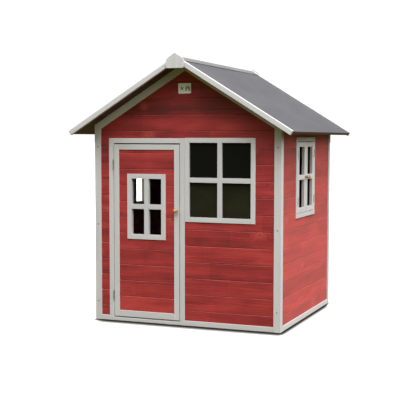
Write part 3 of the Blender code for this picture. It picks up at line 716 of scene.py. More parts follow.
def slope_wedge(side, down, y):
    outline = [(side * -0.003, roof_z(0.0, down) + 0.003 * SLOPE), (side * 0.75, roof_z(0.75, down)), (side * 0.75, 1.9), (side * -0.003, 1.9)]
    return prism(outline, y[0], y[1])


EDGE_X = HALF_W - TRIM_W - GAP
door_lo, door_hi = low("door_trim_left"), high("door_trim_right")
win_lo, win_hi = low("front_window_frame"), high("front_window_frame")

shape, edges = boarding(front_place, (-EDGE_X, EDGE_X), WALL_SEAMS, BASE_H + GAP, roof_z(0.0, RAKE_BOTTOM) + 0.02, BOARD_T)
front = board_piece(
    "front_boards", shape, edges, "X",
    [
        slope_wedge(-1, RAKE_BOTTOM + GAP, (-0.60, -0.50)), slope_wedge(1, RAKE_BOTTOM + GAP, (-0.60, -0.50)),
        cube((door_lo.x - GAP, -0.60, -0.05), (0.0001, -0.50, high("door_trim_head").z + GAP)),
        cube((0.0, -0.60, win_lo.z - GAP), (win_hi.x + GAP, -0.50, win_hi.z + GAP)),
    ],
)
# the back faces of these boards are painted darker as shade
front.finish(RED, "house", ["front_wall"], "red_timber", flat=True, painted_shade_at=lambda p: p.y > -BOARD_FACE + 0.0085)

# the back faces of these boards are painted darker as shade
shape, edges = boarding(rear_place, (-EDGE_X, EDGE_X), WALL_SEAMS, BASE_H + GAP, roof_z(0.0, RAKE_BOTTOM) + 0.02, BOARD_T)
board_piece(
    "rear_boards", shape, edges, "X",
    [slope_wedge(-1, RAKE_BOTTOM + GAP, (0.50, 0.60)), slope_wedge(1, RAKE_BOTTOM + GAP, (0.50, 0.60))],
).finish(RED, "house", ["rear_wall"], "red_timber", flat=True, painted_shade_at=lambda p: p.y < BOARD_FACE - 0.0085)

EDGE_Y = HALF_D - TRIM_W - GAP
for hand, place, x in (("left", left_place, (-0.62, -0.56)), ("right", right_place, (0.56, 0.62))):
    lo, hi = low(f"window_frame_{hand}"), high(f"window_frame_{hand}")
    shape, edges = boarding(place, (-EDGE_Y, EDGE_Y), WALL_SEAMS, BASE_H + GAP, SIDE_TOP, BOARD_T)
    hole = cube((x[0], lo.y - GAP, lo.z - GAP), (x[1], hi.y + GAP, hi.z + GAP))
    # the back faces of these boards are painted darker as shade
    board_piece(f"{hand}_boards", shape, edges, "Y", [hole]).finish(
        RED, "house", [f"{hand}_wall"], "red_timber", flat=True, painted_shade_at=lambda p: abs(p.x) < SIDE_FACE - 0.0085
    )

# ---------------------------------------------------------------- battens inside the walls
POST = (0.5435, 0.5755)
INNER = 0.019            # trim face to the back of the boards
for end, name in ((-1, "front"), (1, "rear")):
    near, far = HALF_D - INNER - 0.0002, HALF_D - INNER - BATTEN_T
    piece = Piece(f"{name}_battens")

    def upright(x, z0, z1, y_near=near):
        piece.bar((x[0], end * far, z0), (x[1], end * y_near, z1), "Z", 0.0015)

    under = RAKE_BOTTOM + 0.0062
    for side in (-1, 1):
        xs = (side * POST[0], side * POST[1])
        outline = [(xs[0], BASE_H + 0.0008), (xs[1], BASE_H + 0.0008), (xs[1], roof_z(xs[1], under)), (xs[0], roof_z(xs[0], under))]
        piece.take(soften(prism(outline, *sorted((end * far, end * (HALF_D - 0.0145)))), 0.0015), "Z")
        rake = [
            (side * 0.0003, roof_z(0.0003, RAKE_TOP + 0.0006)), (side * POST[1], roof_z(POST[1], RAKE_TOP + 0.0006)),
            (side * POST[1], roof_z(POST[1], RAKE_BOTTOM + 0.0060)), (side * 0.0003, roof_z(0.0003, RAKE_BOTTOM + 0.0060)),
        ]
        piece.take(soften(prism(rake, *sorted((end * far, end * (HALF_D - 0.0145)))), 0.0015), "L" if side < 0 else "R")
    if end < 0:
        upright((-0.507, -0.4575), BASE_H + 0.0008, 1.0657)
        upright((-0.0425, 0.012), BASE_H + 0.0008, 1.0657)
        upright((0.4255, 0.4555), BASE_H + 0.0008, 1.0657)
        piece.bar((-0.5065, end * far, 1.066), (0.4550, end * near, 1.1245), "X", 0.0015)
        piece.bar((0.0123, end * far, 0.6045), (0.4252, end * near, 0.6325), "X", 0.0015)
    else:
        for x in (-0.19, 0.19):
            outline = [(x - 0.015, BASE_H + 0.0008), (x + 0.015, BASE_H + 0.0008), (x + 0.015, roof_z(x + 0.015, under)), (x - 0.015, roof_z(x - 0.015, under))]
            piece.take(soften(prism(outline, *sorted((end * far, end * near))), 0.0015), "Z")
    # every face of these battens is painted darker as shade
    piece.finish(RED, "house", slot="red_timber", painted_shade_at=lambda p: True)

for hand, side in (("left", -1), ("right", 1)):
    near, far = side * (HALF_W - INNER - 0.0002), side * (HALF_W - INNER - BATTEN_T)
    piece = Piece(f"{hand}_battens")
    plate = SIDE_TOP - 0.034
    for y, z in (
        ((-0.5093, -0.4800), (BASE_H + 0.0008, plate - 0.0003)), ((0.4800, 0.5093), (BASE_H + 0.0008, plate - 0.0003)),
        ((-0.2555, -0.2135), (BASE_H + 0.0008, plate - 0.0003)), ((0.1305, 0.1725), (BASE_H + 0.0008, plate - 0.0003)),
    ):
        piece.bar((near, y[0], z[0]), (far, y[1], z[1]), "ZY", 0.0015)
    for y, z in (((-0.2132, 0.1302), (0.6205, 0.6690)), ((-0.2132, 0.1302), (1.0855, 1.1340)), ((-0.5090, 0.5090), (plate, SIDE_TOP - 0.0045))):
        piece.bar((near, y[0], z[0]), (far, y[1], z[1]), "Y", 0.0015)
    # every face of these battens is painted darker as shade
    piece.finish(RED, "house", slot="red_timber", painted_shade_at=lambda p: True)

# ---------------------------------------------------------------- trims, rails, barge boards
for end in ("front", "rear"):
    for hand in ("left", "right"):
        name = f"corner_trim_{end}_{hand}"
        Piece(f"{name}_timber").take(soften(cad(name), 0.0022, 3), "Z").finish(GREY, "house", [name], "grey_timber")
        name = f"rake_trim_{end}_{hand}"
        Piece(f"{name}_timber").take(soften(cad(name), 0.0018, 3), "L" if hand == "left" else "R").finish(GREY, "house", [name], "grey_timber")
        name = f"barge_board_{end}_{hand}"
        Piece(f"{name}_timber").take(soften(cad(name), 0.0030, 4), "L" if hand == "left" else "R").finish(GREY, "house", [name], "grey_timber")
    name = f"apex_plate_{end}"
    Piece(f"{name}_timber").take(soften(cad(name), 0.0016, 3), "Z").finish(GREY, "house", [name], "grey_timber")
for name, axis in (("base_rail_front", "X"), ("base_rail_rear", "X"), ("base_rail_left", "Y"), ("base_rail_right", "Y")):
    Piece(f"{name}_timber").take(soften(cad(name), 0.0018, 3), axis).finish(GREY, "house", [name], "grey_timber")
for name, axis in (("door_trim_left", "Z"), ("door_trim_right", "Z"), ("door_trim_head", "X")):
    Piece(f"{name}_timber").take(soften(cad(name), 0.0018, 3), axis).finish(GREY, "house", [name], "grey_timber")


# ---------------------------------------------------------------- frames of stiles, rails and bars
def grid(name, place, u, z, depth, bar, columns=2, rows=2, bevel=0.0016):
    """Stiles, rails and glazing bars, each its own length of timber. place turns (u, depth, z) into a point."""
    piece = Piece(name)
    seam = 0.00012
    upright = "Z" if place in (front_at, rear_at) else "ZY"
    level = "X" if place in (front_at, rear_at) else "Y"
    wide = (u[1] - u[0] - bar * (columns + 1)) / columns
    tall = (z[1] - z[0] - bar * (rows + 1)) / rows

    def stick(ua, ub, za, zb, axis, inset=0.0):
        piece.bar(place(ua, depth[0] + inset, za), place(ub, depth[1] - inset, zb), axis, bevel)

    stick(u[0], u[0] + bar, z[0], z[1], upright)
    stick(u[1] - bar, u[1], z[0], z[1], upright)
    for za in (z[0], z[1] - bar):
        stick(u[0] + bar + seam, u[1] - bar - seam, za, za + bar, level)
    for i in range(1, columns):
        ua = u[0] + i * (wide + bar)
        stick(ua, ua + bar, z[0] + bar + seam, z[1] - bar - seam, upright, 0.0002)
    for j in range(1, rows):
        za = z[0] + j * (tall + bar)
        for i in range(columns):
            ua = u[0] + bar + i * (wide + bar)
            stick(ua + seam, ua + wide - seam, za, za + bar, level, 0.0002)
    return piece


def front_at(u, d, z):
    return (u, -HALF_D + d, z)


def rear_at(u, d, z):
    return (u, HALF_D - d, z)


def right_at(u, d, z):
    return (HALF_W - d, u, z)


def left_at(u, d, z):
    return (-HALF_W + d, u, z)


grid("front_window_timber", front_at, (win_lo.x, win_hi.x), (win_lo.z, win_hi.z), (0.0, win_hi.y - win_lo.y), 0.0285).finish(
    GREY, "house", ["front_window_frame"], "grey_timber"
)
lo, hi = low("front_window_pane"), high("front_window_pane")
pane = Piece("front_window_sheet")
pane.take(soften(cube(lo, hi), 0.0004, 1), "X")
pane.finish(ACRYLIC, "house", ["front_window_pane"], "window_sheet")

for hand, place in (("left", left_at), ("right", right_at)):
    lo, hi = low(f"window_frame_{hand}"), high(f"window_frame_{hand}")
    piece = Piece(f"window_frame_{hand}_timber")
    deep = 0.0184
    for ua, ub, za, zb, axis in (
        (lo.y, -0.222, lo.z, hi.z, "ZY"), (0.139, hi.y, lo.z, hi.z, "ZY"),
        (-0.2219, 0.1389, lo.z, 0.660, "Y"), (-0.2219, 0.1389, 1.0945, hi.z, "Y"),
    ):
        piece.bar(place(ua, 0.0, za), place(ub, deep, zb), axis, 0.0018, 3)
    piece.finish(GREY, "house", [f"window_frame_{hand}"], "grey_timber")
    for end in ("front", "rear"):
        name = f"sash_{hand}_{end}"
        lo, hi = low(name), high(name)
        hinge_w, meet_w, rail = 0.030, 0.032, 0.0295
        a_w, b_w = (hinge_w, meet_w) if end == "front" else (meet_w, hinge_w)
        tall = (hi.z - lo.z - 3 * rail) / 2
        piece = Piece(f"{name}_timber")
        for ua, ub, za, zb, axis in (
            (lo.y, lo.y + a_w, lo.z, hi.z, "ZY"), (hi.y - b_w, hi.y, lo.z, hi.z, "ZY"),
            (lo.y + a_w + 0.0001, hi.y - b_w - 0.0001, lo.z, lo.z + rail, "Y"),
            (lo.y + a_w + 0.0001, hi.y - b_w - 0.0001, lo.z + rail + tall, lo.z + 2 * rail + tall, "Y"),
            (lo.y + a_w + 0.0001, hi.y - b_w - 0.0001, hi.z - rail, hi.z, "Y"),
        ):
            piece.bar(place(ua, 0.0, za), place(ub, deep, zb), axis, 0.0018, 3)
        piece.finish(GREY, f"{hand}_{end}_sash", [name], "grey_timber")

# ---------------------------------------------------------------- door
leaf_lo, leaf_hi = low("door_frame"), high("door_frame")
open_x, open_z = (-0.431, -0.068), (0.0655, 1.0435)
leaf_t = leaf_hi.y - leaf_lo.y
piece = Piece("door_frame_timber")
for ua, ub, za, zb, axis in (
    (leaf_lo.x, open_x[0], leaf_lo.z, leaf_hi.z, "Z"), (open_x[1], leaf_hi.x, leaf_lo.z, leaf_hi.z, "Z"),
    (open_x[0] + 0.0001, open_x[1] - 0.0001, leaf_lo.z, open_z[0], "X"), (open_x[0] + 0.0001, open_x[1] - 0.0001, open_z[1], leaf_hi.z, "X"),
):
    piece.bar(front_at(ua, 0.0, za), front_at(ub, leaf_t, zb), axis, 0.0018, 3)
piece.finish(GREY, "door", ["door_frame"], "grey_timber")

dw_lo, dw_hi = low("door_window_frame"), high("door_window_frame")
shape, edges = boarding(
    front_place, (open_x[0] + GAP, open_x[1] - GAP), DOOR_SEAMS, open_z[0] + GAP, open_z[1] - GAP, leaf_hi.y + 0.0005 + BOARD_FACE
)
panel = board_piece(
    "door_boards", shape, edges, "X", [cube((dw_lo.x - GAP, -0.60, dw_lo.z - GAP), (dw_hi.x + GAP, -0.50, dw_hi.z + GAP))]
)
panel.finish(
    RED, "door", ["door_panel"], "red_timber", flat=True, tones=lambda seed, rng: rng.uniform(0.75, 1.15)
)
piece = Piece("door_ledges")
for z in ((0.100, 0.140), (0.430, 0.470), (0.945, 0.985)):
    piece.bar((leaf_lo.x + 0.0115, leaf_hi.y + 0.0006, z[0]), (leaf_hi.x - 0.012, leaf_hi.y + 0.0183, z[1]), "X", 0.0020, 3)
piece.finish(RED, "door", slot="red_timber")
grid("door_window_timber", front_at, (dw_lo.x, dw_hi.x), (dw_lo.z, dw_hi.z), (0.0, dw_hi.y - dw_lo.y), 0.029).finish(
    GREY, "door", ["door_window_frame"], "grey_timber"
)


# ---------------------------------------------------------------- turned knobs
def knob_shape(place, size, length):
    """A ball on a waisted neck with a flared foot: size is the ball's radius, length the whole reach."""
    centre = length - size
    profile = [(0.0, length)]
    for degrees in range(8, 149, 7):
        a = math.radians(degrees)
        profile.append((size * math.sin(a), centre + size * math.cos(a)))
    neck = size * 0.44
    profile += [(neck, length * 0.235), (neck * 1.02, length * 0.16), (size * 0.56, length * 0.09), (size * 0.66, length * 0.045), (size * 0.665, 0.0), (0.0, 0.0)]
    return revolve(profile, 40, place)


kb_lo, kb_hi = low("door_knob"), high("door_knob")
centre = (kb_lo + kb_hi) / 2
place = Matrix.Translation((centre.x, kb_hi.y, centre.z)) @ Matrix.Rotation(math.radians(90), 4, "X")
Piece("door_knob_turned").take(knob_shape(place, 0.0135, kb_hi.y - kb_lo.y), "Z").finish(KNOB, "door", ["door_knob"], "knob_timber")
for hand, side in (("left", -1), ("right", 1)):
    for end in ("front", "rear"):
        name = f"sash_knob_{hand}_{end}"
        lo, hi = low(name), high(name)
        centre = (lo + hi) / 2
        foot = lo.x if side > 0 else hi.x
        place = Matrix.Translation((foot, centre.y, centre.z)) @ Matrix.Rotation(side * math.radians(90), 4, "Y")
        Piece(f"{name}_turned").take(knob_shape(place, 0.0100, hi.x - lo.x), "Z").finish(KNOB, f"{hand}_{end}_sash", [name], "knob_timber")


# ---------------------------------------------------------------- screws
def screw_stock():
    """A countersunk head with a cross recess, face up, 8 mm across."""
    r = 0.0040
    head = revolve([(0.0, 0.0007), (r * 0.55, 0.00066), (r * 0.86, 0.0005), (r, 0.0002), (r, 0.0), (r * 0.6, -0.0006), (0.0, -0.0006)], 28, Matrix.Identity(4))
    slots = [cube((-0.0021, -0.00042, -0.0001), (0.0021, 0.00042, 0.002)), cube((-0.00042, -0.0021, -0.0001), (0.00042, 0.0021, 0.002))]
    shape = cut(head, slots)
    mesh = bpy.data.meshes.new("screw_stock")
    shape.to_mesh(mesh)
    shape.free()
    return mesh


STOCK = screw_stock()


def screw(piece, at, facing, size=1.0, turn=0.0):
    """One screw head at a point, facing along a vector."""
    shape = bmesh.new()
    shape.from_mesh(STOCK)
    face = Vector(facing).normalized()
    matrix = Matrix.Translation(at) @ face.to_track_quat("Z", "Y").to_matrix().to_4x4() @ Matrix.Rotation(turn, 4, "Z") @ Matrix.Scale(size, 4)
    bmesh.ops.transform(shape, matrix=matrix, verts=shape.verts)
    piece.take(shape, "X")


rng = random.Random(7)
for end, front in (("front", -1), ("rear", 1)):
    piece = Piece(f"{end}_corner_screws")
    for x in (-0.5735, 0.5735):
        for z in (0.115, 0.588, 1.060):
            screw(piece, (x, front * (HALF_D + 0.0001), z), (0, front, 0), 0.95, rng.uniform(0, 1.5))
    piece.finish(SCREW, "house", slot="hinge_steel")


# ---------------------------------------------------------------- hinges
def knuckle(piece, x, y, z0, z1, r, bore=None, chamfer=0.0004):
    profile = [(0.0, z1), (r - chamfer, z1), (r, z1 - chamfer), (r, z0 + chamfer), (r - chamfer, z0), (0.0, z0)]
    piece.take(revolve(profile, 24, Matrix.Translation((x, y, 0))), "Z")


ax, ay, radius = -0.4665, -0.5590, 0.0034
for label in ("bottom", "top"):
    lo, hi = low(f"door_hinge_fixed_{label}"), high(f"door_hinge_fixed_{label}")
    third = (hi.z - lo.z) / 3
    fixed = Piece(f"door_hinge_{label}_fixed_leaf")
    knuckle(fixed, ax, ay, lo.z, lo.z + third - 0.0002, radius)
    knuckle(fixed, ax, ay, hi.z - third + 0.0002, hi.z, radius)
    knuckle(fixed, ax, ay, lo.z + third, hi.z - third, 0.0012, chamfer=0.0001)
    fixed.bar((door_lo.x + 0.0303 + 0.0003, -0.5552, lo.z), (door_lo.x + 0.0303 + 0.0013, -0.5385, hi.z), "Z", 0.0002, 1)
    for k in (0, 2):
        fixed.bar((door_lo.x + 0.0303 + 0.0004, ay, lo.z + k * third + 0.001), (door_lo.x + 0.0303 + 0.0012, -0.5550, lo.z + (k + 1) * third - 0.001), "Z", 0.0001, 1)
    fixed.finish(STEEL, "house", [f"door_hinge_fixed_{label}"], "hinge_steel")
    moving = Piece(f"door_hinge_{label}_moving_leaf")
    knuckle(moving, ax, ay, lo.z + third + 0.0004, hi.z - third - 0.0004, radius)
    moving.bar((leaf_lo.x - 0.0013, -0.5550, lo.z + 0.001), (leaf_lo.x - 0.0003, -0.5390, hi.z - 0.001), "Z", 0.0002, 1)
    moving.finish(STEEL, "door", [f"door_hinge_leaf_{label}"], "hinge_steel")

for hand, side in (("left", -1), ("right", 1)):
    for end, hinge_y, outward in (("front", -0.222, 1), ("rear", 0.139, -1)):
        sx, sy, sr = side * (HALF_W + 0.004), hinge_y + outward * 0.0015, 0.0028
        fixed, moving = Piece(f"sash_hinges_{hand}_{end}_fixed"), Piece(f"sash_hinges_{hand}_{end}_moving")
        for z in (0.735, 1.017):
            z0, z1 = z - 0.024, z + 0.024
            third = (z1 - z0) / 3
            knuckle(fixed, sx, sy, z0, z0 + third - 0.0002, sr)
            knuckle(fixed, sx, sy, z1 - third + 0.0002, z1, sr)
            fixed.bar((side * (HALF_W + 0.0025), hinge_y + outward * 0.0003, z0 + 0.0005), (side * (HALF_W - 0.0150), hinge_y + outward * 0.0011, z1 - 0.0005), "Z", 0.0002, 1)
            knuckle(moving, sx, sy, z0 + third + 0.0003, z1 - third - 0.0003, sr)
            moving.bar((side * (HALF_W + 0.0025), hinge_y + outward * 0.0019, z0 + 0.0008), (side * (HALF_W - 0.0150), hinge_y + outward * 0.0027, z1 - 0.0008), "Z", 0.0002, 1)
        fixed.finish(ZINC, "house", [f"sash_hinge_{hand}_{end}_{label}" for label in ("bottom", "top")], "hinge_steel")
        moving.finish(ZINC, f"{hand}_{end}_sash", slot="hinge_steel")

# ---------------------------------------------------------------- plaque: a rimmed plate with a plain star and hut
lo, hi = low("gable_plaque"), high("gable_plaque")
mid = (lo + hi) / 2


def rounded(w, h, r, centre, steps=5):
    points = []
    for cx, cz, start in ((w / 2 - r, h / 2 - r, 0), (-w / 2 + r, h / 2 - r, 90), (-w / 2 + r, -h / 2 + r, 180), (w / 2 - r, -h / 2 + r, 270)):
        for k in range(steps + 1):
            a = math.radians(start + 90 * k / steps)
            points.append((centre[0] + cx + r * math.cos(a), centre[1] + cz + r * math.sin(a)))
    return points


wide, tall = hi.x - lo.x, hi.z - lo.z
piece = Piece("gable_plaque_plate")
body_shape = prism(rounded(wide, tall, 0.004, (mid.x, mid.z)), lo.y, hi.y)
piece.take(cut(body_shape, [prism(rounded(wide - 0.009, tall - 0.009, 0.003, (mid.x, mid.z)), lo.y - 0.01, lo.y + 0.0009)]), "X")
piece.finish(PLATE, "house", ["gable_plaque"], "plaque")
star = [
    (mid.x - 0.018 + (0.0165 if k % 2 == 0 else 0.0070) * math.sin(math.pi * k / 5), mid.z + (0.0165 if k % 2 == 0 else 0.0070) * math.cos(math.pi * k / 5))
    for k in range(10)
]
piece = Piece("gable_plaque_motif")
piece.take(soften(prism(star, lo.y + 0.0002, lo.y + 0.0008), 0.0002, 1), "X")
hut = [(-0.015, -0.014), (0.015, -0.014), (0.015, 0.002), (0.0185, 0.002), (0.0, 0.0165), (-0.0185, 0.002), (-0.015, 0.002)]
hut = prism([(mid.x + 0.019 + x, mid.z + z) for x, z in hut], lo.y + 0.0002, lo.y + 0.0008)
piece.take(cut(hut, [cube((mid.x + 0.014, lo.y - 0.01, mid.z - 0.02), (mid.x + 0.022, lo.y + 0.01, mid.z - 0.003))]), "X")
piece.finish(PRINT, "house", slot="plaque")

# ---------------------------------------------------------------- roof boards and rafters
for hand, side in (("left", -1), ("right", 1)):
    piece = Piece(f"roof_boards_{hand}")
    lines = [SLOPE_LEN - PITCH * k for k in range(0, 9)]
    lines = [u for u in lines if u > 0.05] + [0.0]
    lines = sorted(lines)
    for k, (u0, u1) in enumerate(zip(lines, lines[1:])):
        a, b = u0 + 0.0005, u1 - (0.0005 if k < len(lines) - 2 else 0.0)
        c, d = 0.0026, 0.0024
        if k == 0:
            def ridge(w):
                return (GAP / 2 + w * math.sin(TILT)) / math.cos(TILT)
            points = [(ridge(DECK_TOP), DECK_TOP), (b, DECK_TOP), (b, DECK_BOTTOM - d), (b - c, DECK_BOTTOM), (ridge(DECK_BOTTOM), DECK_BOTTOM)]
        elif k == len(lines) - 2:
            points = [(a, DECK_TOP), (b, DECK_TOP), (b, DECK_BOTTOM), (a + c, DECK_BOTTOM), (a, DECK_BOTTOM - d)]
        else:
            points = [(a, DECK_TOP), (b, DECK_TOP), (b, DECK_BOTTOM - d), (b - c, DECK_BOTTOM), (a + c, DECK_BOTTOM), (a, DECK_BOTTOM - d)]
        outline = [slope_point(side, u, w) for u, w in points]
        piece.take(soften(prism(outline, -DECK_Y, DECK_Y), 0.0008, 1, 60.0), "DL" if side < 0 else "DR")
    for y in (-0.25, 0.25):
        outline = [
            (side * 0.030, roof_z(0.030, DECK_BOTTOM + 0.0002)), (side * 0.545, roof_z(0.545, DECK_BOTTOM + 0.0002)),
            (side * 0.545, roof_z(0.545, 0.0469)), (side * 0.030, roof_z(0.030, 0.0469)),
        ]
        piece.take(soften(prism(outline, y - 0.015, y + 0.015), 0.0015), "L" if side < 0 else "R")
    piece.finish(BROWN, "house", [f"roof_deck_{hand}"], "roof_boards")

# ---------------------------------------------------------------- felt, laid with the slightest of waves
for hand, side in (("left", -1), ("right", 1)):
    shape = bmesh.new()
    across, long = 26, 46
    top, under = [], []
    for i in range(across + 1):
        row_a, row_b = [], []
        for j in range(long + 1):
            y = -DECK_Y + 2 * DECK_Y * j / long
            share = i / across
            start = (GAP / 2 + FELT_DROP * math.sin(TILT)) / math.cos(TILT)
            start_low = (GAP / 2 + (FELT_DROP + FELT_T) * math.sin(TILT)) / math.cos(TILT)
            u = start + (SLOPE_LEN - start) * share
            u_low = start_low + (SLOPE_LEN - start_low) * share
            wave = 0.0009 * (0.5 + noise.noise(Vector((u * 5.0 + side * 7.0, y * 2.6, 0.3)))) + 0.00035 * noise.noise(Vector((u * 16.0, y * 11.0, 3.0 * side)))
            edge = min(i, across - i) / 2.0 if i > across / 2 else 1.0
            edge = min(1.0, edge, min(j, long - j) / 1.0 + 0.0)
            down = FELT_DROP + max(0.0, wave) * min(1.0, edge) + (0.0007 if i == across or j in (0, long) else 0.0)
            x, z = slope_point(side, u, down)
            row_a.append(shape.verts.new((x, y, z)))
            x, z = slope_point(side, u_low, FELT_DROP + FELT_T)
            row_b.append(shape.verts.new((x, y, z)))
        top.append(row_a)
        under.append(row_b)
    for i in range(across):
        for j in range(long):
            shape.faces.new((top[i][j], top[i + 1][j], top[i + 1][j + 1], top[i][j + 1]))
            shape.faces.new((under[i][j], under[i][j + 1], under[i + 1][j + 1], under[i + 1][j]))
    for i in range(across):
        shape.faces.new((top[i][0], under[i][0], under[i + 1][0], top[i + 1][0]))
        shape.faces.new((top[i][long], top[i + 1][long], under[i + 1][long], under[i][long]))
    for j in range(long):
        shape.faces.new((top[0][j], top[0][j + 1], under[0][j + 1], under[0][j]))
        shape.faces.new((top[across][j], under[across][j], under[across][j + 1], top[across][j + 1]))
    bmesh.ops.recalc_face_normals(shape, faces=shape.faces)
    Piece(f"roof_felt_{hand}_sheet").take(shape, "DL" if side < 0 else "DR").finish(FELT, "house", [f"roof_felt_{hand}"], "roof_felt")
# the ridge strip takes the lighter felt, a painted highlight
Piece("ridge_cap_felt").take(soften(cad("ridge_cap"), 0.0008, 2, 20.0), "Y").finish(RIDGE_FELT_PAINTED_LIGHT, "house", ["ridge_cap"], "roof_felt")

# ---------------------------------------------------------------- floor boards on bearers
lo, hi = low("floor"), high("floor")
piece = Piece("floor_boards")
count = 11
wide = (hi.y - lo.y) / count
for k in range(count):
    piece.bar((lo.x, lo.y + k * wide + 0.0007, hi.z - 0.018), (hi.x, lo.y + (k + 1) * wide - 0.0007, hi.z), "XY", 0.0016)
for y in (-0.40, 0.0, 0.40):
    piece.bar((lo.x + 0.002, y - 0.0225, lo.z), (hi.x - 0.002, y + 0.0225, hi.z - 0.0183), "XY", 0.0015)
piece.finish(PINE, "house", ["floor"], "floor_timber")

# ---------------------------------------------------------------- ground, light, camera
bpy.ops.mesh.primitive_circle_add(vertices=96, radius=260.0, fill_type="NGON", location=(0, 0, -0.0002))
ground = bpy.context.object
ground.name = "studio_floor"
g = Graph("studio_floor")
tint = g.noise(g.place(), 0.6, 2.0, 0.5)
painted_contact_ao = g.add("ShaderNodeAmbientOcclusion", samples=32, only_local=False)
g.put(painted_contact_ao.inputs["Distance"], 0.12)
fx, fy, _ = g.split(g.place())
# painted shadow: the floor's colour and glow are darkened in a strip round the footprint, worked out from where a point
# lies and from a short ambient-occlusion reach; the strip runs out at the front left and rear right corners
side_width = g.span(fx, -0.1, 0.1, g.span(fy, -HALF_D, 0.25 - HALF_D, 0.03, 0.40), g.span(fy, HALF_D - 0.22, HALF_D, 0.40, 0.08))
end_width = g.span(fy, -0.1, 0.1, g.span(fx, -HALF_W, 0.09 - HALF_W, 0.40, 1.0), g.span(fx, HALF_W - 0.15, HALF_W - 0.02, 0.60, 0.05))
side_gap = g.math("DIVIDE", g.math("MAXIMUM", g.math("SUBTRACT", g.math("ABSOLUTE", fx), HALF_W), 0.0), side_width)
end_gap = g.math("DIVIDE", g.math("MAXIMUM", g.math("SUBTRACT", g.math("ABSOLUTE", fy), HALF_D), 0.0), end_width)
gap = g.math("SQRT", g.math("ADD", g.math("POWER", side_gap, 2.0), g.math("POWER", end_gap, 2.0)))
front_left = g.math("MULTIPLY", g.span(fx, 0.012 - HALF_W, -HALF_W - 0.004), g.span(fy, 0.25 - HALF_D, 0.12 - HALF_D))
rear_right = g.math("MULTIPLY", g.span(fy, HALF_D - 0.12, HALF_D), g.span(fx, HALF_W - 0.15, HALF_W - 0.02))
clear_of_painted_shadow = g.math("MINIMUM", g.span(gap, 0.030, 0.160), g.math("MAXIMUM", g.span(painted_contact_ao.outputs["AO"], 0.50, 0.68), g.math("MAXIMUM", front_left, rear_right)))
# the painted shadow darkens both the floor's colour and its glow
g.set(Base_Color=g.mix(clear_of_painted_shadow, (0.02, 0.02, 0.018), g.mix(tint, (0.80, 0.80, 0.80), (0.82, 0.82, 0.82))), Roughness=0.9,
      Specular_IOR_Level=0.0, Emission_Color=g.mix(clear_of_painted_shadow, (0.0, 0.0, 0.0), (1.0, 1.0, 1.0)), Emission_Strength=0.60)
ground.data.materials.append(g.material)
ground.visible_diffuse = False
ground.visible_glossy = False

world = bpy.data.worlds.new("Soft studio")
scene.world = world
world.use_nodes = True
tree = world.node_tree
tree.nodes.clear()


def wnode(kind, **settings):
    node = tree.nodes.new(kind)
    for key, value in settings.items():
        setattr(node, key, value)
    return node


def wmap(value, a, b, to_a, to_b):
    node = wnode("ShaderNodeMapRange", interpolation_type="SMOOTHSTEP")
    tree.links.new(value, node.inputs[0])
    for socket, given in zip(node.inputs[1:5], (a, b, to_a, to_b)):
        socket.default_value = given
    return node.outputs[0]


def wmix(share, a, b):
    node = wnode("ShaderNodeMix", data_type="RGBA")
    for socket, value in ((node.inputs["Factor"], share), (node.inputs[6], a), (node.inputs[7], b)):
        if isinstance(value, bpy.types.NodeSocket):
            tree.links.new(value, socket)
        else:
            socket.default_value = value if not isinstance(value, tuple) else (*value, 1.0)
    return node.outputs[2]


direction = wnode("ShaderNodeTexCoord").outputs["Generated"]
split = wnode("ShaderNodeSeparateXYZ")
tree.links.new(direction, split.inputs[0])
dx, dy, dz = split.outputs
zenith = wmap(dz, 0.06, 0.80, 0.0, 1.0)
sky = wmix(zenith, (0.22, 0.22, 0.19), (2.80, 2.79, 2.77))
banked = wmix(wmap(dy, -0.10, -0.75, 0.0, 1.0), sky, (0.16, 0.165, 0.13))     # darker towards the front, low down
sky = wmix(wmap(dz, 0.25, 0.75, 0.0, 1.0), banked, sky)
aside = wmix(wmap(dz, 0.05, 0.44, 0.0, 1.0), (0.40, 0.38, 0.35), (4.50, 4.26, 4.05))           # brighter on the right, higher up
sky = wmix(wmap(dx, 0.30, 0.80, 0.0, 0.88), sky, aside)
lawn = wmix(wmap(dx, 0.20, 0.75, 0.0, 0.90), (0.242, 0.240, 0.052), (0.09, 0.09, 0.045))
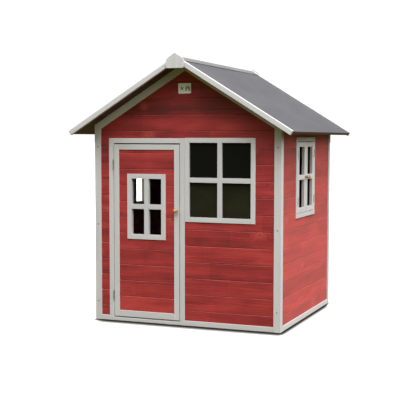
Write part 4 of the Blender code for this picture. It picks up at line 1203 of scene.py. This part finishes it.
light = wmix(wmap(dz, -0.05, 0.02, 0.0, 1.0), lawn, sky)
background = wnode("ShaderNodeBackground")
tree.links.new(light, background.inputs["Color"])
background.inputs["Strength"].default_value = 0.945
plain = wnode("ShaderNodeBackground")
plain.inputs["Color"].default_value = (1.0, 1.0, 1.0, 1.0)
plain.inputs["Strength"].default_value = 1.05
path = wnode("ShaderNodeLightPath")
choose = wnode("ShaderNodeMixShader")
tree.links.new(path.outputs["Is Camera Ray"], choose.inputs[0])
tree.links.new(background.outputs[0], choose.inputs[1])
tree.links.new(plain.outputs[0], choose.inputs[2])
end = wnode("ShaderNodeOutputWorld")
tree.links.new(choose.outputs[0], end.inputs[0])


def area(name, at, aim, size, power, colour=(1, 1, 1)):
    data = bpy.data.lights.new(name, "AREA")
    data.shape = "RECTANGLE"
    data.size, data.size_y = size
    data.energy = power
    data.color = colour
    lamp = bpy.data.objects.new(name, data)
    scene.collection.objects.link(lamp)
    lamp.location = at
    lamp.rotation_euler = (Vector(aim) - Vector(at)).to_track_quat("-Z", "Y").to_euler()
    return lamp


area("key_softbox", (1.9, -3.8, 6.2), (0.1, -0.4, 0.7), (3.2, 3.2), 287.0)

camera_data = bpy.data.cameras.new("camera")
camera = bpy.data.objects.new("camera", camera_data)
scene.collection.objects.link(camera)
yaw, pitch, roll = math.radians(21.4083), math.radians(4.2602), math.radians(0.1005)
forward = Vector((-math.sin(yaw) * math.cos(pitch), math.cos(yaw) * math.cos(pitch), -math.sin(pitch)))
right = forward.cross(Vector((0, 0, 1))).normalized()
up = right.cross(forward)
right, up = right * math.cos(roll) + up * math.sin(roll), up * math.cos(roll) - right * math.sin(roll)
camera.matrix_world = Matrix.Translation((2.1962, -5.7455, 1.1103)) @ Matrix((
    (right.x, up.x, -forward.x, 0), (right.y, up.y, -forward.y, 0), (right.z, up.z, -forward.z, 0), (0, 0, 0, 1),
))
camera_data.sensor_width = 36.0
camera_data.lens = 956.957 * 36.0 / 420.0
camera_data.clip_end = 1000.0
scene.camera = camera
scene.view_settings.view_transform = "Standard"
